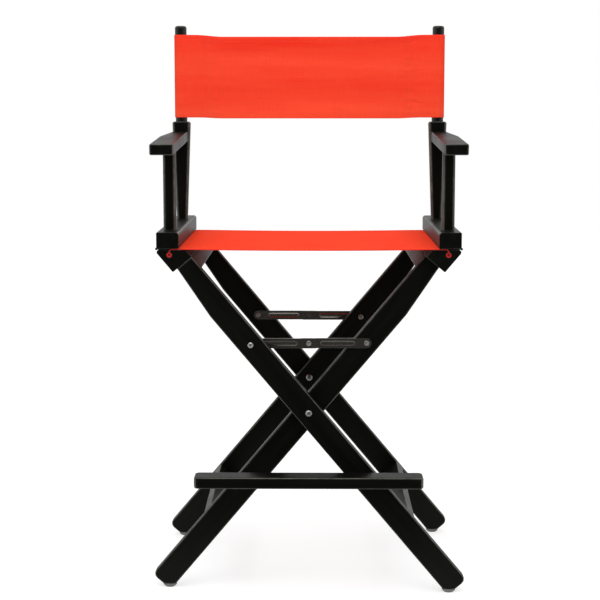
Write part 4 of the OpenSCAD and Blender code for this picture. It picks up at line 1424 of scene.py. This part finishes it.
@dataclass
class Screw:
    """Turned fitting along Y: a domed head with a cross recess, a shank, and a plain far end.

    The shares of the crown, the brim and the recess are of the head's radius.
    """

    head_radius: float
    head_height: float
    shank_radius: float
    shank_end: float
    recess: float = 0.0
    turned: float = math.radians(20)
    columns: int = 72
    crown_rows: int = 18
    crown_end: float = 0.86
    brim_rows: int = 4
    brim_start: float = 0.9
    brim_lift: float = 0.92
    bar_sides: tuple[float, float] = (0.11, 0.19)
    bar_ends: tuple[float, float] = (0.5, 0.64)
    well_side: tuple[float, float] = (0.16, 0.3)

    def outline(self) -> Array:
        """Half outline from the head's middle to the far end's, as rows of radius and depth behind the face.

        The crown and the brim are ellipses: at the share s of the radius the depth is H (1 - sqrt(1 - s^2)),
        with the brim's root lowered a little.
        """
        crown = np.linspace(0.0, self.crown_end, self.crown_rows)
        brim = np.linspace(self.brim_start, 1.0, self.brim_rows)
        tail = self.head_height + self.shank_end
        radius = [self.head_radius * crown, self.head_radius * brim,
                  [self.shank_radius, self.shank_radius, 0.0]]
        depth = [self.head_height * (1.0 - np.sqrt(1 - crown ** 2)),
                 self.head_height * (1.0 - self.brim_lift * np.sqrt(1 - brim ** 2)),
                 [self.head_height, tail, tail]]
        return np.stack([np.concatenate(radius), np.concatenate(depth)], axis=1)

    def sunk(self, radius: Array, angle: Array) -> Array:
        """Depth of the cross recess: full inside two crossed bars and the well where they meet."""
        x = radius * np.cos(angle) / self.head_radius
        y = radius * np.sin(angle) / self.head_radius
        narrow = np.minimum(np.abs(x), np.abs(y))
        wide = np.maximum(np.abs(x), np.abs(y))
        bars = (1 - smooth(narrow, *self.bar_sides)) * (1 - smooth(wide, *self.bar_ends))
        well = 1 - smooth(np.hypot(x, y), *self.well_side)
        return self.recess * np.maximum(bars, well)

    def points(self, face: Array, inward: float) -> tuple[Array, Array]:
        """The fitting's surface in place.

        Args:
            face: Middle of the head's face.
            inward: 1 where the shank goes toward +Y, -1 where it goes toward -Y.

        Returns:
            Points and faces. The outline is carried round the axis, and the recess is taken from the crown.
        """
        line = self.outline()
        angle = np.linspace(0, 2 * np.pi, self.columns, endpoint=False) + self.turned
        radius, around = np.meshgrid(line[:, 0], angle, indexing="ij")
        head = (np.arange(len(line)) < self.crown_rows + self.brim_rows)[:, None]
        depth = line[:, 1][:, None] + np.where(head, self.sunk(radius, around - self.turned), 0.0)
        points = np.stack([face[0] + radius * np.cos(around), face[1] + inward * depth,
                           face[2] + radius * np.sin(around)], axis=-1)
        faces = grid_faces(len(line), self.columns, ring=True)
        return points.reshape(-1, 3), faces if inward > 0 else faces[:, ::-1]


def join_parts(name: str, parts: list[tuple[Array, Array]]) -> bpy.types.Object:
    """One mesh object from several sets of points and faces, with the poles of turned parts closed."""
    counts = np.cumsum([0] + [len(points) for points, _ in parts])
    points = np.concatenate([points for points, _ in parts])
    faces = np.concatenate([faces + count for (_, faces), count in zip(parts, counts)])
    piece = make_piece(name, points, faces)
    tidy_mesh(piece)
    return piece


def tidy_mesh(piece: bpy.types.Object) -> None:
    """Merges the corners that lie on each other and turns all faces outward."""
    work = bmesh.new()
    work.from_mesh(piece.data)
    bmesh.ops.remove_doubles(work, verts=work.verts, dist=1e-7)
    bmesh.ops.recalc_face_normals(work, faces=work.faces)
    work.to_mesh(piece.data)
    work.free()


@dataclass
class Fasteners:
    """Screws and rivets of the pivots and the braces, with real cross recesses."""

    brace_shank: float = 2.5 * MM
    pivot_shank: float = 3.0 * MM
    brace_head: float = 5.25 * MM
    link_head: float = 4.4 * MM
    rivet_head: float = 4.5 * MM
    rivet_height: float = 0.95 * MM
    washer_radius: float = 6.0 * MM
    washer_height: float = 0.3 * MM
    washer_shank: float = 0.2 * MM
    washer_inset: float = 0.5 * MM
    pivot_recess: float = 1.7 * MM
    brace_recess: float = 1.3 * MM
    rivet_recess: float = 0.55 * MM
    brace_reach: float = 12.0 * MM
    nut_overlap: float = 1.5 * MM
    between_frames: float = 20.0 * MM

    def pivots(self) -> list[bpy.types.Object]:
        """Front and rear pivot bolt, each a recessed head outside its leg and a shank into the cap nut."""
        low, high = box_of("pivot_bolts")
        head = (high[0] - low[0]) / 2
        face_height = high[1] - box_of("outer_rear_leg")[1][1]
        nuts = box_of("pivot_cap_nuts")
        centre = middle_of("pivot_bolts")
        shank = nuts[0][1] - (low[1] + face_height) - self.nut_overlap
        bolt = Screw(head, face_height, self.pivot_shank, shank, recess=self.pivot_recess)
        pieces = []
        for name, face, inward in (("front", low[1], 1.0), ("rear", high[1], -1.0)):
            part = bolt.points(np.array([centre[0], face, centre[2]]), inward)
            piece = join_parts(f"{name}_pivot_screw", [part])
            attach(piece, "centre_pivots")
            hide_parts("pivot_bolts")
            pieces.append(piece)
        return pieces

    def braces(self, leg_frame: str) -> list[bpy.types.Object]:
        """Front and rear brace bolt of one leg frame.

        Args:
            leg_frame: "outer" or "inner".

        Returns:
            The pieces: each has a head outside the leg at one end and a low head on the link at the other.
        """
        node = f"{leg_frame}_brace_bolts"
        low, high = box_of(node)
        centre_x, centre_z = (low[0] + high[0]) / 2, (low[2] + high[2]) / 2
        pieces = []
        for name, inward in (("front", 1.0), ("rear", -1.0)):
            leg = box_of(f"{leg_frame}_{name}_leg")
            parts = self.brace_bolt(leg_frame, node, inward, leg, centre_x, centre_z)
            piece = join_parts(f"{leg_frame}_{name}_brace_screw", parts)
            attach(piece, f"{leg_frame}_leg_frame")
            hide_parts(node)
            pieces.append(piece)
        return pieces

    def brace_bolt(self, leg_frame: str, node: str, inward: float, leg: tuple[Array, Array],
                   x: float, z: float) -> list[tuple[Array, Array]]:
        """One brace bolt through a leg, with a head at either end.

        Args:
            leg_frame: "outer" or "inner".
            node: CAD node of the bolts.
            inward: 1 for the front leg, -1 for the rear leg.
            leg: Box of the leg.
            x: Place of the bolt along X.
            z: Height of the bolt.

        Returns:
            Points and faces of its two turned halves.
        """
        points = np.empty(len(frame["nodes"][node].data.vertices) * 3, np.float32)
        frame["nodes"][node].data.vertices.foreach_get("co", points)
        depth = points.reshape(-1, 3)[:, 1]
        near = depth[depth < self.between_frames] if inward > 0 else depth[depth > self.between_frames]
        first, last = float(near.min()), float(near.max())
        outside_first = (leg_frame == "outer") == (inward > 0)
        big = Screw(self.brace_head, abs((leg[0][1] - first) if outside_first else (last - leg[1][1])),
                    self.brace_shank, self.brace_reach, recess=self.brace_recess)
        small = Screw(self.link_head, self.rivet_height, self.brace_shank, self.brace_reach,
                      recess=self.rivet_recess)
        ahead, behind = (big, small) if outside_first else (small, big)
        return [ahead.points(np.array([x, first, z]), 1.0), behind.points(np.array([x, last, z]), -1.0)]

    def link_rivet(self) -> bpy.types.Object:
        """Recessed head of the front brace's middle rivet, in front of its CAD half."""
        low, high = box_of("front_left_brace_rivet")
        centre = middle_of("front_left_brace_rivet")
        shank = high[1] - low[1] - self.rivet_height
        head = Screw(self.rivet_head, self.rivet_height, self.brace_shank, shank, recess=self.rivet_recess)
        washer = Screw(self.washer_radius, self.washer_height, self.brace_shank, self.washer_shank)
        parts = [head.points(np.array([centre[0], low[1], centre[2]]), 1.0),
                 washer.points(np.array([centre[0], high[1] - self.washer_inset, centre[2]]), 1.0)]
        piece = join_parts("front_middle_screw", parts)
        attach(piece, "front_left_brace")
        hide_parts("front_left_brace_rivet")
        return piece

    def build(self, rack: FinishRack) -> None:
        """Builds and dresses every screw."""
        bright = rack.get(Steel())
        # The rear screws get a darker, rougher zinc than the front ones.
        dull = rack.get(Steel(name="darker_rougher_zinc", plate=linear(150, 146, 140), dull=linear(118, 114, 108),
                              roughness=0.55))
        dress(self.link_rivet(), bright)
        for front, rear in (self.pivots(), self.braces("outer"), self.braces("inner")):
            dress(front, bright)
            dress(rear, dull)


@dataclass
class CarriedOver:
    """CAD nodes whose shape is right: each gets the finish of the first pattern that its name fits."""

    grain: dict[str, GrainRun] = field(default_factory=lambda: {
        "outer_*_leg": GrainRun.OUTER_LEG,
        "inner_*_leg": GrainRun.INNER_LEG,
        "outer_*_stretcher": GrainRun.DEEP_OUTER,
        "inner_*_stretcher": GrainRun.DEEP_INNER,
        "*_arm_rail": GrainRun.LEVEL_DEEP,
        "*_armrest": GrainRun.LEVEL_DEEP,
        "footrest_board": GrainRun.LEVEL_ACROSS,
    })
    finishes: dict[str, Finish] = field(default_factory=lambda: {
        # Posts: a wider painted highlight on their roundings.
        "*_post": Lacquer(name="black_lacquer_post", rounding_start=0.99, rounding_highlight=0.6),
        "*_top_rail": Lacquer(name="black_lacquer_rail", run=GrainRun.LEVEL_DEEP, rounding_highlight=0.0),
        "*_glides": Moulded(name="grey_glide"),
        "pivot_spacers": Moulded(name="spacer_nylon", body=linear(60, 60, 60), scuffed=linear(90, 90, 88)),
        "*_seat_dowel": Lacquer(name="dye_stained_dowel", run=GrainRun.LEVEL_DEEP, body=linear(96, 20, 26),
                                streak=linear(120, 30, 32), rub_and_highlight=linear(170, 80, 70), rounding_highlight=0.0),
        "*_stick": Lacquer(name="turned_black_stick", gloss=0.4, roughness=0.3, rounding_highlight=0.0),
        # Link plates: a strong painted highlight with rubbed metal round their rims.
        "*_brace_link": Steel(name="link_plate", plate=linear(172, 168, 160), dull=linear(142, 137, 129),
                              roughness=0.2, roughness_change=0.06, smudge_scale=26.0,
                              mark_height=0.000004, edge_mask_width=0.0009, edge_bright=0.85),
        "*": Steel(name="hinge_plate", plate=linear(150, 150, 148), dull=linear(110, 108, 104),
                   roughness=0.3),
    })

    def finish_of(self, name: str, rack: FinishRack) -> bpy.types.Material:
        """Finish of a CAD node by its name."""
        for pattern, run in self.grain.items():
            if fnmatchcase(name, pattern):
                return rack.lacquer(run)
        fits = (finish for pattern, finish in self.finishes.items() if fnmatchcase(name, pattern))
        return rack.get(next(fits))

    def build(self, rack: FinishRack) -> None:
        """Dresses every CAD node that is still shown."""
        for name, node in frame["nodes"].items():
            if not node.hide_render:
                dress(node, self.finish_of(name, rack))


def main() -> None:
    """Builds the scene in order: stage, canvases, screws, and the finishes of the CAD nodes."""
    logging.basicConfig(level=logging.INFO, format="%(name)s: %(message)s")
    Studio().build()
    rack = FinishRack()
    SeatCanvas().build(rack)
    BackCanvas().build(rack)
    Fasteners().build(rack)
    CarriedOver().build(rack)


if __name__ == "__main__":
    main()
